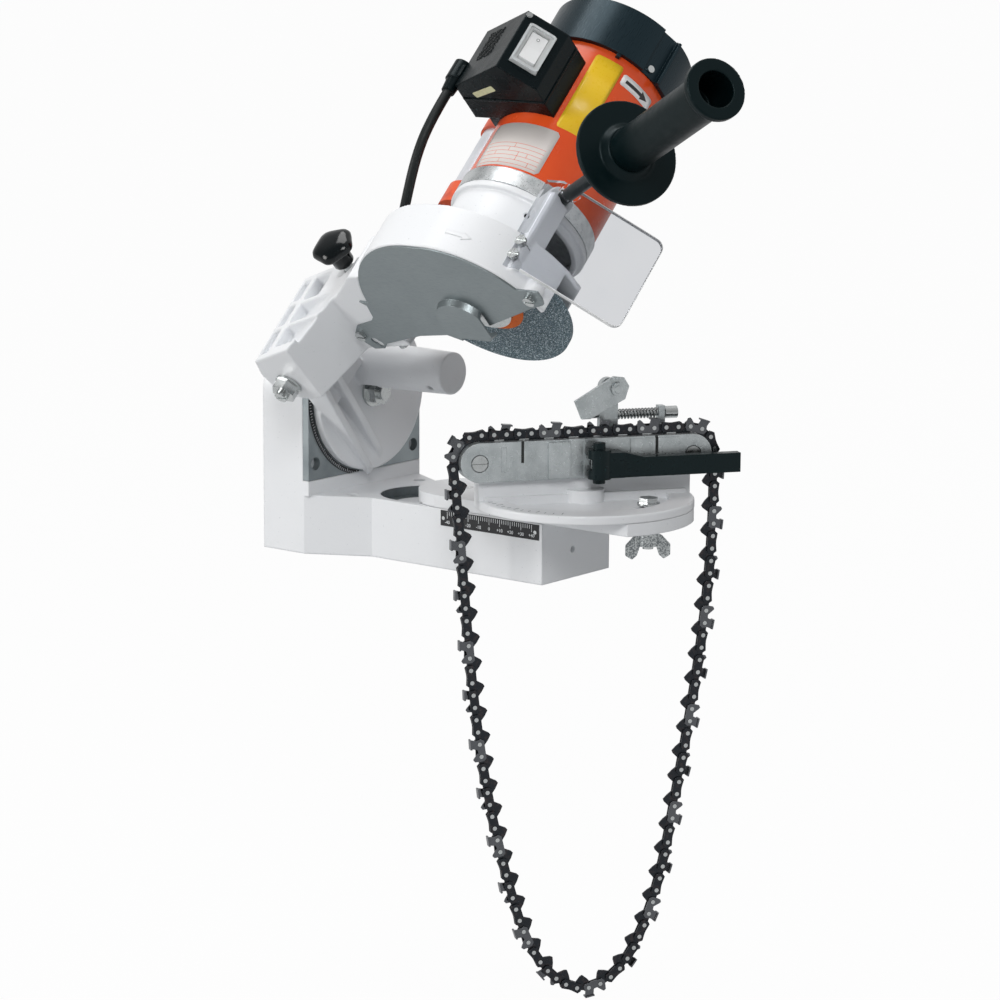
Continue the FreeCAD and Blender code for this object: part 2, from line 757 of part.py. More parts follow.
def make_swing_arm():
    """Ribbed casting from the hinge lugs to the wheel guard, with the stop screw's boss."""
    top = "hinge_high"
    shape = [("hinge_x-arm_round", "hinge_out-6"), ("hinge_x-arm_round+4", "hinge_out-23"),
             ("hinge_x-4", "hinge_out-30.5"), ("stop_x+14", "-150"), ("24", "-176"), ("44", "-178"),
             ("60", "-112"), ("40", "-99"), ("-6", "-90"), ("hinge_x+24", "hinge_out+13"),
             ("hinge_x+10", "hinge_out+18"), ("hinge_x-12", "hinge_out+17"), ("hinge_x-20", "hinge_out+8")]
    body = prism(shape, "hinge_low", top)
    slope = prism([("hinge_x+24", "hinge_low-1"), ("stop_x-1", "hinge_low+26"), ("stop_x+4", "guard_low-6"),
                   ("stop_x+9", "guard_low"), ("90", "guard_low"), ("90", "hinge_low-1")],
                  "-200", "-60", "y")
    lug_room = rod("lug_round+1.5", "lug_low-gap", "lug_high+gap", "hinge_x", "hinge_out")
    mouth = prism([("hinge_x-arm_round-6", "hinge_out"), ("hinge_x-12", "hinge_out-4"),
                   ("hinge_x", "hinge_out-4"), ("hinge_x+15", "hinge_out+5"),
                   ("hinge_x+60", "hinge_out+22"), ("hinge_x+60", "hinge_out+60"),
                   ("hinge_x-arm_round-6", "hinge_out+60")], "lug_low-gap", "lug_high+gap")
    coil_room = rod("hinge_bolt_thick/2+spring_wire*1.5+gap*2", "lug_high", "lug_high+spring_wire*3+gap*4",
                    "hinge_x", "hinge_out")
    bore = rod("hinge_bolt_thick/2+fit", "hinge_low-1", top + "+1", "hinge_x", "hinge_out")
    pockets = []
    for low, high in (("hinge_low+6", "hinge_low+28"), ("hinge_low+33", "hinge_low+52"),
                      ("hinge_low+57", top + "-5")):
        pockets.append(prism([("hinge_x-arm_round+5.5", "hinge_out-32"), ("hinge_x-7", "hinge_out-38"),
                              ("hinge_x-7", "hinge_out-21"), ("hinge_x-arm_round+7.5", "hinge_out-15")],
                             low, high))
    for low, high in (("hinge_low+9", "hinge_low+28"), ("hinge_low+32", "hinge_low+50")):
        pockets.append(prism([("hinge_x", "hinge_out-46"), ("stop_x+12", "-160"), ("stop_x+12", "-150"),
                              ("hinge_x", "hinge_out-21.5")], low, high))
    pockets.append(prism([("hinge_x", "hinge_out-46"), ("stop_x-10.5", "-160"), ("stop_x-10.5", "-142"),
                          ("hinge_x", "hinge_out-21.5")], "hinge_low+54", top + "-5"))
    ear_tap = rod("2", "guard_low-1", "guard_low+11", "spindle_x-cover_ear", "spindle_out+33")
    boss = rod("stop_screw_round+5.5", "stop_head+17", "hinge_out-6", "stop_x", "stop_up", "y")
    tap = rod("stop_screw_round+fit", "-160", "-40", "stop_x", "stop_up", "y")
    knob_room = fuse(rod("knob_round+1", "-200", "stop_head+1", "stop_x", "stop_up", "y"),
                     rod("knob_hub+1.5", "-200", "stop_head+12.5", "stop_x", "stop_up", "y"))
    body = cut(body, slope, knob_room, lobes("guard_round", "guard_low-30", "hinge_high+1"), lug_room, mouth,
               *pockets)
    return cut(fuse(body, boss), tap, coil_room, bore, ear_tap)


node("swing_arm", make_swing_arm(), "head")


def make_wheel_guard():
    """Cast guard round the upper half of the wheel, with the neck that carries the motor."""
    centre = ("spindle_x", "spindle_out")
    drum = lobes("guard_round", "guard_low", "guard_high")
    hollow = lobes("guard_round-guard_wall", "guard_low-1", "guard_high-guard_roof")
    open_side = prism([("spindle_x-guard_round-60", "spindle_out+36"), ("spindle_x-50", "spindle_out+36"),
                       ("spindle_x+24", "spindle_out+4"), ("spindle_x+guard_round+20", "spindle_out-26"),
                       ("spindle_x+guard_round+60", "spindle_out+90"),
                       ("spindle_x-guard_round-60", "spindle_out+90")], "guard_low-1", "guard_high-guard_roof")
    skirt = prism([("spindle_x+24", "spindle_out+60"), ("spindle_x+guard_round+20", "spindle_out-20"),
                   ("spindle_x+guard_round+60", "spindle_out+90"),
                   ("spindle_x-guard_round-60", "spindle_out+90"),
                   ("spindle_x-guard_round-60", "spindle_out+50")], "guard_low-1", "guard_high+1")
    neck = rod("neck_round", "guard_high-guard_roof", "neck_high", *centre)
    neck_bore = rod("neck_round-neck_wall", "guard_high+1", "neck_high+1", *centre)
    shaft_way = rod("shaft_round+4", "guard_low", "neck_high", *centre)
    window = box("spindle_x+14", "spindle_x+neck_round+5", "spindle_out-22", "spindle_out+30",
                 "guard_high+5", "neck_high-10")
    leg = box("spindle_x+58", "visor_x-3.5", "visor_out-3", "visor_out+16", "guard_low+8", "visor_high-8")
    leg_back = rod("guard_round-guard_wall", "guard_low-1", "guard_high-guard_roof", *centre)
    leg_clear = rod("neck_round-1", "guard_high", "neck_high+1", *centre)
    handle_boss = handle_place(rod("rod_round+5", "neck_round-3", "rod_from+16", axis="x"))
    handle_boss = cut(handle_boss, rod("ring_round+gap", "neck_high", "neck_high+30", *centre))
    ear = fuse(rod("6", "guard_low", "guard_low+12", "spindle_x+75", "spindle_out-33"),
               box("spindle_x+66", "spindle_x+76", "spindle_out-39", "spindle_out-27", "guard_low",
                   "guard_low+12"))
    tapped = [rod("2", "guard_low-1", "guard_low+11", "spindle_x+75", "spindle_out-33")]
    flange = tube("neck_round+3.5", "neck_round-neck_wall", "neck_high-5", "neck_high", *centre)
    body = cut(fuse(drum, neck), skirt)
    body = cut(body, hollow, neck_bore, open_side)
    body = fuse(body, cut(fuse(leg, handle_boss), leg_back, leg_clear), cut(ear, leg_back), flange)
    rod_way = handle_place(rod("rod_round+fit", "rod_from", "rod_from+40", axis="x"))
    visor_taps = [rod("2", "visor_out-8", "visor_out+8", "visor_x-6", z, "y")
                  for z in ("guard_high-8", "guard_high-20")]
    set_hole = turned_about_z(rod("2.2", "neck_round-neck_wall-1", "neck_round+5", "0", "neck_high-15.5", "x"),
                              "-45.7", "spindle_x", "spindle_out")
    return cut(body, shaft_way, window, rod_way, set_hole, *(tapped + visor_taps))


def handle_place(item):
    """Turn a piece made along x about the spindle, to where the handle points."""
    wrap = group(item)
    wrap.Placement = FreeCAD.Placement(Vec(), FreeCAD.Rotation(Vec(0, 0, -1), 1))
    bind(wrap, x="spindle_x", y="spindle_out", z="handle_up")
    wrap.setExpression("Placement.Rotation.Angle", formula("handle_turn"))
    return wrap


node("wheel_guard", make_wheel_guard(), "head")


def make_guard_cover():
    """Steel cover plate over the open face of the guard, pressed out over the spindle nut."""
    low, high = "guard_low-cover_thick", "guard_low"
    disc = lobes("guard_round-1", low, high)
    sweep_out = [(-96, -90), (84, -90), (84, -48), (88, -40), (84, -28), (70, -22), (56, -15), (20, 3),
                 (-14, 12), (-18, 26), (-30, 21), (-58, 26), (-99, 41), (-104, 47), (-115, 49), (-122, 41),
                 (-124, 32), (-117, 23), (-98, 15), (-93, 9), (-91, -4), (-96, -8)]
    field = prism([("spindle_x+%g" % x if x > 0 else "spindle_x-%g" % -x,
                    "spindle_out+%g" % y if y > 0 else "spindle_out-%g" % -y) for x, y in sweep_out],
                  low, high)
    left_ear = box("spindle_x-126", "spindle_x-60", "spindle_out-8", "spindle_out+52", low, high)
    right_ear = box("spindle_x+60", "spindle_x+86", "spindle_out-42", "spindle_out-20", low, high)
    round_part = common(field, fuse(disc, left_ear, right_ear))
    bulge = taper("hub_bulge_round-2", "hub_bulge_round", "guard_low-hub_bulge_deep-cover_thick", "guard_low",
                  "spindle_x", "spindle_out")
    bulge_core = taper("hub_bulge_round-2-cover_thick", "hub_bulge_round-cover_thick",
                       "guard_low-hub_bulge_deep", "guard_low+0.01", "spindle_x", "spindle_out")
    bulge_keep = box("spindle_x-40", "spindle_x+19", "spindle_out-40", "spindle_out+16",
                     "guard_low-30", "guard_low+1")
    holes = [rod("2.6", low + "-1", high + "+1", "spindle_x+75", "spindle_out-33"),
             rod("2.6", low + "-1", high + "+1", "spindle_x-cover_ear", "spindle_out+33"),
             rod("3.6", low + "-1", high + "+1", "spindle_x-cover_ear+9", "spindle_out+39"),
             rod("3.6", low + "-1", high + "+1", "spindle_x-cover_ear+12", "spindle_out+42")]
    return cut(fuse(round_part, common(bulge, bulge_keep)), common(bulge_core, bulge_keep), *holes)


node("guard_cover", make_guard_cover(), "head")


def make_head_screws():
    """Screws of the guard cover, the eye shield and the fan cowl."""
    low = "guard_low-cover_thick-3"
    cowl_heads = [turned_about_z(rod("3.2", "cowl_round", "cowl_round+1.6", "0", "motor_top+9", "x"),
                                 str(turn), "spindle_x", "spindle_out") for turn in (101, 221)]
    cowl_heads.append(turned_about_z(rod("2.7", "cowl_round-cowl_wall-0.5", "cowl_round-cowl_wall+1.3",
                                         "recess_wide*0.42", "motor_top+3", "x"),
                                     "recess_turn", "spindle_x", "spindle_out"))
    return group(screw("4.4", "3", "1.95", low, "guard_low+9", "spindle_x+75", "spindle_out-33"),
                 screw("4.4", "3", "1.95", low, "guard_low+9", "spindle_x-cover_ear", "spindle_out+33"),
                 screw("4.2", "2.6", "1.95", "visor_out-3-visor_thick-2.6", "visor_out+6",
                       "visor_x-6", "guard_high-8", "y"),
                 screw("4.2", "2.6", "1.95", "visor_out-3-visor_thick-2.6", "visor_out+6",
                       "visor_x-6", "guard_high-20", "y"), *cowl_heads)


node("head_screws", make_head_screws(), "head")

# ---------------------------------------------------------------- wheel, spindle and motor


def on_spindle(kind, *values):
    """A turned shape on the spindle axis."""
    return kind(*values, "spindle_x", "spindle_out")


def make_wheel():
    """Vitrified grinding wheel."""
    half = "wheel_thick/2"
    return on_spindle(tube, "wheel_round", "shaft_round+fit", "-" + half, half)


node("grinding_wheel", make_wheel(), "head")


def make_blotters():
    """Orange paper washers between wheel and flanges."""
    half = "wheel_thick/2"
    return group(on_spindle(tube, "blotter_round", "shaft_round+fit", "-(%s)-paper" % half, "-(%s)" % half),
                 on_spindle(tube, "blotter_round", "shaft_round+fit", half, half + "+paper"))


def make_wheel_flanges():
    """Turned flanges that clamp the wheel."""
    outer = "(wheel_thick/2+paper)"
    return group(on_spindle(tube, "flange_round", "shaft_round+fit", "-%s-flange_thick" % outer, "-" + outer),
                 on_spindle(tube, "flange_round", "shaft_round+fit", outer, outer + "+flange_thick"))


node("wheel_blotters", make_blotters(), "head")
node("wheel_flanges", make_wheel_flanges(), "head")


def make_spindle_nut():
    """Nut on the end of the spindle, under the cover's bulge."""
    high = "-(wheel_thick/2+paper+flange_thick)"
    return cut(on_spindle(hexagon, "spindle_nut_across", high + "-spindle_nut_tall", high),
               on_spindle(rod, "shaft_round+fit", high + "-20", high + "+1"))


node("spindle_nut", make_spindle_nut(), "head")


def make_motor_shaft():
    """Motor shaft that runs from the nut to the fan."""
    seat = "wheel_thick/2+paper+flange_thick"
    return fuse(on_spindle(rod, "shaft_round", "-(%s)-spindle_nut_tall-2" % seat, "shaft_top"),
                on_spindle(rod, "shaft_round+2.5", seat, "neck_high-4"))


node("motor_shaft", make_motor_shaft(), "head")


def make_motor_flange():
    """Bright front end bell of the motor with the bearing seat."""
    ring = on_spindle(rod, "ring_round", "neck_high", "neck_high+ring_tall")
    spigot = on_spindle(rod, "motor_round-motor_wall-gap", "neck_high+ring_tall", "neck_high+ring_tall+6")
    bore = on_spindle(rod, "shaft_round+0.5", "neck_high-1", "neck_high+30")
    seat = on_spindle(rod, "bearing_round", "neck_high+ring_tall+5-bearing_wide", "neck_high+30")
    room = on_spindle(tube, "motor_round-motor_wall-4", "bearing_round+6", "neck_high+6", "neck_high+30")
    return cut(fuse(ring, spigot), bore, seat, room)


node("motor_flange", make_motor_flange(), "head")


def make_motor_housing():
    """Painted motor barrel."""
    return on_spindle(tube, "motor_round", "motor_round-motor_wall", "neck_high+ring_tall", "motor_top")


node("motor_housing", make_motor_housing(), "head")


def make_stator():
    """Laminated stator with its windings."""
    core = on_spindle(tube, "stator_round", "stator_bore+gap", "stator_low", "stator_high")
    ends = [on_spindle(tube, "stator_round-5", "stator_bore+5", "stator_low-9", "stator_low+1"),
            on_spindle(tube, "stator_round-5", "stator_bore+5", "stator_high-1", "stator_high+9")]
    return fuse(core, *ends)


node("stator", make_stator(), "head")


def make_rotor():
    """Cage rotor on the shaft."""
    return on_spindle(tube, "rotor_round", "shaft_round+fit", "stator_low", "stator_high")


node("rotor", make_rotor(), "head")


def make_bearings():
    """Two ball bearings that carry the shaft."""
    low = "neck_high+ring_tall+5-bearing_wide"
    high = "motor_top-bell_thick"
    outer = "bearing_round-fit/2"
    return group(on_spindle(tube, outer, "shaft_round+fit", low, "neck_high+ring_tall+5"),
                 on_spindle(tube, outer, "shaft_round+fit", high, high + "+bearing_wide"))


node("bearings", make_bearings(), "head")


def make_rear_end_bell():
    """Rear end bell of the motor."""
    low = "motor_top-bell_thick"
    spigot = on_spindle(rod, "motor_round-motor_wall-gap", low, "motor_top")
    lid = on_spindle(rod, "motor_round-2", "motor_top", "motor_top+4")
    seat = on_spindle(rod, "bearing_round", low + "-1", low + "+bearing_wide")
    bore = on_spindle(rod, "shaft_round+0.5", low, "motor_top+9")
    room = on_spindle(tube, "motor_round-motor_wall-4", "bearing_round+5", low + "-1", "motor_top")
    cap = on_spindle(rod, "bearing_round+4", "motor_top+3", "motor_top+6")
    return cut(fuse(spigot, lid, cap), seat, bore, room)


node("rear_end_bell", make_rear_end_bell(), "head")


def make_fan():
    """Radial fan on the tail of the shaft."""
    low = "motor_top+10"
    hub = on_spindle(rod, "fan_hub", low, low + "+fan_tall")
    web = on_spindle(rod, "fan_round", low, low + "+2")
    blades = []
    for blade in range(int(size("fan_blades"))):
        one = box("fan_hub-2", "fan_round", "-0.9", "0.9", low + "+1", low + "+fan_tall")
        blades.append(turned_about_z(one, "360*%d/fan_blades" % blade, "spindle_x", "spindle_out"))
    bore = on_spindle(rod, "shaft_round+fit", low + "-1", low + "+40")
    return cut(fuse(hub, web, *blades), bore)


node("cooling_fan", make_fan(), "head")


def make_fan_cowl():
    """Black cowl over the fan, with a cable gate and the grille in its end."""
    shell = on_spindle(rod, "cowl_round", "cowl_low", "cowl_top")
    core = on_spindle(rod, "cowl_round-cowl_wall", "motor_top", "cowl_top-cowl_wall")
    slip = on_spindle(rod, "motor_round+gap", "cowl_low-1", "motor_top+1")
    step = turned_about_z(box("cowl_round-cowl_wall-0.5", "cowl_round+2", "0", "recess_wide", "cowl_low-1",
                              "cowl_top+1"), "recess_turn", "spindle_x", "spindle_out")
    panel = turned_about_z(box("cowl_round-cowl_wall*2-0.5", "cowl_round-cowl_wall-0.5", "-2",
                               "recess_wide+2", "motor_top+gap", "cowl_top-cowl_wall+0.5"),
                           "recess_turn", "spindle_x", "spindle_out")
    ridge = turned_about_z(box("cowl_round-cowl_wall*2-0.5", "cowl_round+2.4", "recess_wide",
                               "recess_wide+2.2", "motor_top+gap", "cowl_top-2"),
                           "recess_turn", "spindle_x", "spindle_out")
    jamb = turned_about_z(box("cowl_round-cowl_wall*2-0.5", "cowl_round-1", "-2.2", "0", "motor_top+gap",
                              "cowl_top-cowl_wall+0.5"), "recess_turn", "spindle_x", "spindle_out")
    catch = turned_about_z(box("motor_round+gap", "cowl_round-0.5", "-1.6", "1.6", "cowl_low-3", "cowl_low+1"),
                           "-46.7", "spindle_x", "spindle_out")
    ridge_foot = turned_about_z(box("cowl_round-cowl_wall", "cowl_round+2.4", "recess_wide",
                                    "recess_wide+2.2", "cowl_low-2", "motor_top+1"),
                                "recess_turn", "spindle_x", "spindle_out")
    vents = []
    for ring in (12, 21, 30, 39):
        vents.append(on_spindle(tube, "%d+2.6" % ring, str(ring), "cowl_top-cowl_wall-1", "cowl_top+1"))
    spokes = [turned_about_z(box("8", "cowl_round-8", "-1.6", "1.6", "cowl_top-cowl_wall", "cowl_top"),
                             str(turn), "spindle_x", "spindle_out") for turn in (0, 60, 120, 180, 240, 300)]
    body = fuse(cut(shell, core, slip, step, *vents), panel, jamb, catch, ridge, ridge_foot)
    ears = [turned_about_z(box("motor_round-2+gap", "cowl_round-0.5", "-5", "5", "motor_top+4", "motor_top+14"),
                           str(turn), "spindle_x", "spindle_out") for turn in (101, 221)]
    return fuse(body, *(spokes + ears))


node("fan_cowl", make_fan_cowl(), "head")


def make_capacitor():
    """Motor capacitor: a bright can beside the barrel."""
    can = rod("cap_round", "cap_low", "cap_high", "cap_x", "cap_out")
    stub = rod("cap_round-6", "cap_high", "cap_high+4", "cap_x", "cap_out")
    return fuse(can, stub)


node("capacitor", make_capacitor(), "head")


def make_capacitor_clamp():
    """Painted cup and upper strap that hold the capacitor to the barrel."""
    barrel = on_spindle(rod, "motor_round+fit", "0", "motor_top")
    can = rod("cap_round+fit", "cap_low", "cap_high", "cap_x", "cap_out")
    holders = []
    for low, high in (("cap_low-6", "cap_low+13"), ("cap_high-18", "cap_high-8")):
        ring = rod("cap_round+strap_thick", low, high, "cap_x", "cap_out")
        foot = box("cap_x+12", "cap_x+26", "cap_out-9", "cap_out+3", low, high)
        holders.append(cut(fuse(ring, foot), barrel, can))
    return group(*holders)


node("capacitor_clamp", make_capacitor_clamp(), "head")

# ---------------------------------------------------------------- switch box


def box_section(inset):
    """Outline of the lid across the spindle, set in by a wall."""
    step = "+" + inset
    back = "-" + inset
    return [("box_left" + step, "box_seam"), ("box_left" + step, "box_eave" + step),
            ("box_ridge", "box_top" + step), ("box_right" + back, "box_eave" + step),
            ("box_right" + back, "box_seam")]


def make_switch_box():
    """Moulded base of the switch box, saddled on the motor barrel."""
    outer = box("box_left", "box_right", "box_seam", "box_foot", "box_low", "box_high")
    saddle = box("box_left+8", "box_right-4", "box_foot-1", "box_foot+14", "box_low+4", "box_high-4")
    room = box("box_left+box_wall", "box_right-box_wall", "box_seam-1", "box_foot-box_wall-6",
               "box_low+box_wall", "box_high-box_wall")
    barrel = on_spindle(rod, "motor_round+fit", "0", "motor_top")
    return cut(fuse(outer, saddle), room, barrel)


node("switch_box", make_switch_box(), "head")


def make_switch_lid():
    """Roof-shaped lid of the switch box, with the opening for the switch."""
    shell = prism(box_section("0"), "box_low", "box_high")
    core = prism(box_section("box_wall"), "box_low+box_wall", "box_high-box_wall")
    opening = switch_place(box("-module_wide/2+1-fit", "module_wide/2-1+fit", "-12", "12",
                               "-module_long/2+1-fit", "module_long/2-1+fit"))
    return cut(shell, core, opening)


def switch_place(item):
    """Set a piece on the sloping face of the lid, its y axis square to that face."""
    wrap = group(item)
    wrap.Placement = FreeCAD.Placement(Vec(), FreeCAD.Rotation(Vec(0, 0, 1), 1))
    bind(wrap, x="(box_ridge+box_right)/2", y="(box_top+box_eave)/2", z="(box_low+box_high)/2")
    wrap.setExpression("Placement.Rotation.Angle",
                       formula("atan((box_eave-box_top)/(box_right-box_ridge))"))
    return wrap


node("switch_lid", make_switch_lid(), "head")


def make_switch_module():
    """Switch insert: clear frame outside the lid, body inside."""
    frame = box("-module_wide/2", "module_wide/2", "-module_lip", "0", "-module_long/2", "module_long/2")
    body = box("-module_wide/2+1", "module_wide/2-1", "0", "11", "-module_long/2+1", "module_long/2-1")
    well = box("-rocker_wide/2-gap", "rocker_wide/2+gap", "-module_lip-1", "6",
               "-rocker_long/2-gap", "rocker_long/2+gap")
    return switch_place(cut(fuse(frame, body), well))


node("switch_module", group(make_switch_module()), "head")


def make_switch_rocker():
    """Rocker of the switch, pressed down at its off end."""
    face = [("-module_lip-1.6", "-rocker_long/2"), ("-module_lip+0.8", "0"),
            ("-module_lip+1.8", "rocker_long/2"), ("1.5", "rocker_long/2"), ("3.5", "4"), ("3.5", "-4"),
            ("1.5", "-rocker_long/2")]
    swept = rod("rocker_long/2", "-rocker_wide/2", "rocker_wide/2", "1", "0", "x")
    return switch_place(common(prism(face, "-rocker_wide/2", "rocker_wide/2", "x"), swept))


node("switch_rocker", group(make_switch_rocker()), "head")


def make_cable_gland():
    """Cord gland on the side of the switch box, drawn out into a tapered sleeve."""
    flange = box("gland_x", "box_left-fit", "gland_out-5", "gland_out+5", "gland_high-14", "gland_high-4")
    nut = rod("gland_round", "gland_high-16", "gland_high", "gland_x", "gland_out")
    sleeve = taper("cord_round+1.3", "gland_round-1", "gland_low", "gland_high-16", "gland_x", "gland_out")
    return fuse(flange, nut, sleeve)


node("cable_gland", make_cable_gland(), "head")

# ---------------------------------------------------------------- handle and eye shield


def make_handle_rod():
    """Steel rod screwed in the neck, through the hand guard and into the grip."""
    return handle_place(rod("rod_round", "rod_from", "grip_tip-grip_bore_deep-8", axis="x"))


node("handle_rod", group(make_handle_rod()), "head")


def make_hand_guard():
    """Round hand guard between rod and grip."""
    at = "hand_guard_at"
    disc = rod("hand_guard_round", at, at + "+hand_guard_thick", axis="x")
    boss = taper("grip_round+5", "grip_round+1", at + "+hand_guard_thick", at + "+hand_guard_thick+5", axis="x")
    back = rod("rod_round+4", at + "-6", at, axis="x")
    bore = rod("rod_round+fit", at + "-9", at + "+20", axis="x")
    return handle_place(cut(fuse(disc, boss, back), bore))


node("hand_guard", group(make_hand_guard()), "head")


def make_grip():
    """Moulded hand grip with an open, lipped end."""
    start = "hand_guard_at+hand_guard_thick+5"
    body = fuse(rod("grip_round", start, "grip_tip", axis="x"),
                taper("grip_round", "grip_lip", "grip_tip-9", "grip_tip-5", axis="x"),
                rod("grip_lip", "grip_tip-5", "grip_tip", axis="x"))
    mouth = rod("grip_bore", "grip_tip-grip_bore_deep", "grip_tip+1", axis="x")
    bore = rod("rod_round+fit", start + "-1", "grip_tip-grip_bore_deep-8+fit", axis="x")
    return handle_place(cut(body, mouth, bore))


node("grip", group(make_grip()), "head")


def make_visor():
    """Clear eye shield, bent with a tab that is screwed to the guard's leg."""
    sheet_part = box("0", "visor_long", "0", "visor_thick", "visor_low", "visor_high")
    doc.recompute()
    sheet_part = rounded(sheet_part, size("visor_corner"),
                         lambda edge, middle: straight(edge, "y") and middle.x > 1)
    wrap = group(sheet_part)
    wrap.Placement = FreeCAD.Placement(Vec(), FreeCAD.Rotation(Vec(0, 0, 1), 1))
    bind(wrap, x="visor_x", y="visor_out-3-visor_thick")
    wrap.setExpression("Placement.Rotation.Angle", formula("visor_turn"))
    tab = box("visor_x-visor_tab", "visor_x+0.4", "visor_out-3-visor_thick", "visor_out-3", "visor_low",
              "visor_high")
    holes = [rod("2.3", "visor_out-10", "visor_out", "visor_x-6", z, "y")
             for z in ("guard_high-8", "guard_high-20")]
    rod_way = handle_place(rod("rod_round+2", "rod_from+10", "rod_from+90", axis="x"))
    guard_way = lobes("guard_round+gap", "visor_low-1", "guard_high+gap")
    return cut(fuse(wrap, tab), rod_way, guard_way, *holes)


node("visor", make_visor(), "head")

# ---------------------------------------------------------------- depth stop


def make_depth_screw():
    """Long screw whose tip meets the stop bar when the head comes down."""
    return rod("stop_screw_round", "stop_head", "stop_tip", "stop_x", "stop_up", "y")


node("depth_screw", make_depth_screw(), "head")


def make_depth_knob():
    """Five-lobed knob that turns the depth screw."""
    seat = "stop_head+6"
    hub = taper("knob_hub", "knob_hub-1", "stop_head-12", seat, "stop_x", "stop_up", "y")
    core = rod("knob_round-4", "stop_head-17.5", "stop_head-9", "stop_x", "stop_up", "y")
    bumps = []
    for lobe in range(5):
        angle = math.radians(72 * lobe + 18)
        reach = "(knob_round-6)"
        bumps.append(rod("6", "stop_head-17.5", "stop_head-9",
                         "stop_x+%s*%.6f" % (reach, math.cos(angle)),
                         "stop_up+%s*%.6f" % (reach, math.sin(angle)), "y"))
    bore = rod("stop_screw_round+fit", "stop_head", "stop_head+10", "stop_x", "stop_up", "y")
    return cut(fuse(hub, core, *bumps), bore)


node("depth_knob", make_depth_knob(), "head")

# ---------------------------------------------------------------- cross slide


def make_slide_arm():
    """Cast slide with a round tongue in the base recess and a rounded right end."""
    low = "base_tall+gap"
    end = "table_x+table_round"
    bar = box("slide_home", end, "-beam_half", "beam_half", low, "arm_top")
    round_end = fuse(rod("table_round", low, "arm_top", "table_x", "0"),
                     box("slide_home-1", "table_x", "-beam_half-1", "beam_half+1", low, "arm_top"))
    tip = rod("arm_tip_round", low, "arm_top", "slide_home+3", "0")
    tongue = rod("recess_round-gap", "base_tall-recess_deep+gap", low, "slide_home", "0")
    body = fuse(common(bar, round_end), tip, tongue)
    slide_bolt = rod("slide_bolt_thick/2+fit", "0", "90", "slide_home", "0")
    table_bolt = rod("table_bolt_thick/2+fit", "0", "90", "table_x", "0")
    clamp = rod("swivel_bolt_thick/2+fit", "0", "90", "table_x+slot_at*cos(slot_turn)",
                "slot_at*sin(slot_turn)")
    head_room = rod("table_bolt_thick*0.75+gap", "0", low + "+4.5", "table_x", "0")
    return cut(body, slide_bolt, table_bolt, clamp, head_room)


node("slide_arm", make_slide_arm())


def make_table_bolts():
    """Slide bolt under the deck, pivot bolt of the vise and its clamping bolt."""
    deck = "base_tall-recess_deep-deck_thick+6"
    slide = fuse(rod("slide_bolt_thick/2", deck + "-8", "arm_top", "slide_home", "0"),
                 hexagon("slide_bolt_thick*1.6", deck + "-8", deck + "-gap", "slide_home", "0"))
    pivot = fuse(rod("table_bolt_thick/2", "base_tall+gap*2", "table_boss_top-4", "table_x", "0"),
                 rod("table_bolt_thick*0.75", "base_tall+gap*2", "base_tall+gap+4.3", "table_x", "0"))
    x, y = "table_x+slot_at*cos(slot_turn)", "slot_at*sin(slot_turn)"
    seat = "table_rim-table_pocket+gap"
    clamp = fuse(rod("swivel_bolt_thick/2", "base_tall-20", seat, x, y),
                 rod("swivel_bolt_thick*1.05", seat, seat + "+1.6", x, y),
                 hexagon("swivel_bolt_thick*1.6", seat + "+1.6", seat + "+5.4", x, y))
    return group(slide, pivot, clamp)


node("table_bolts", make_table_bolts())


def make_wing_nut():
    """Wing nut under the slide that clamps the swivel."""
    high = "base_tall"
    hub = taper("wing_hub_round", "wing_hub_round", "base_tall-wing_hub_tall-6", high)
    outline = [("wing_hub_round-2", "base_tall-8"), ("wing_hub_round+3", "base_tall-10"),
               ("wing_reach", "base_tall-17"), ("wing_reach", "base_tall-25"),
               ("wing_reach-5", "base_tall-wing_drop"), ("wing_hub_round+1", "base_tall-25"),
               ("wing_hub_round-2", "base_tall-16")]
    wing = prism(outline, "-wing_thick/2", "wing_thick/2", "y")
    mirror = turned_about_z(prism(outline, "-wing_thick/2", "wing_thick/2", "y"), "180")
    bore = rod("swivel_bolt_thick/2+fit", "0", "90")
    body = group(cut(fuse(hub, wing, mirror), bore))
    body.Placement = FreeCAD.Placement(Vec(), FreeCAD.Rotation(Vec(0, 0, 1), 50))
    return bind(body, x="table_x+slot_at*cos(slot_turn)", y="slot_at*sin(slot_turn)")


node("wing_nut", group(make_wing_nut()))

# ---------------------------------------------------------------- swivel plate and vise
# Vise frame: y along the rails, x out to the front, z up; the pivot is the origin.


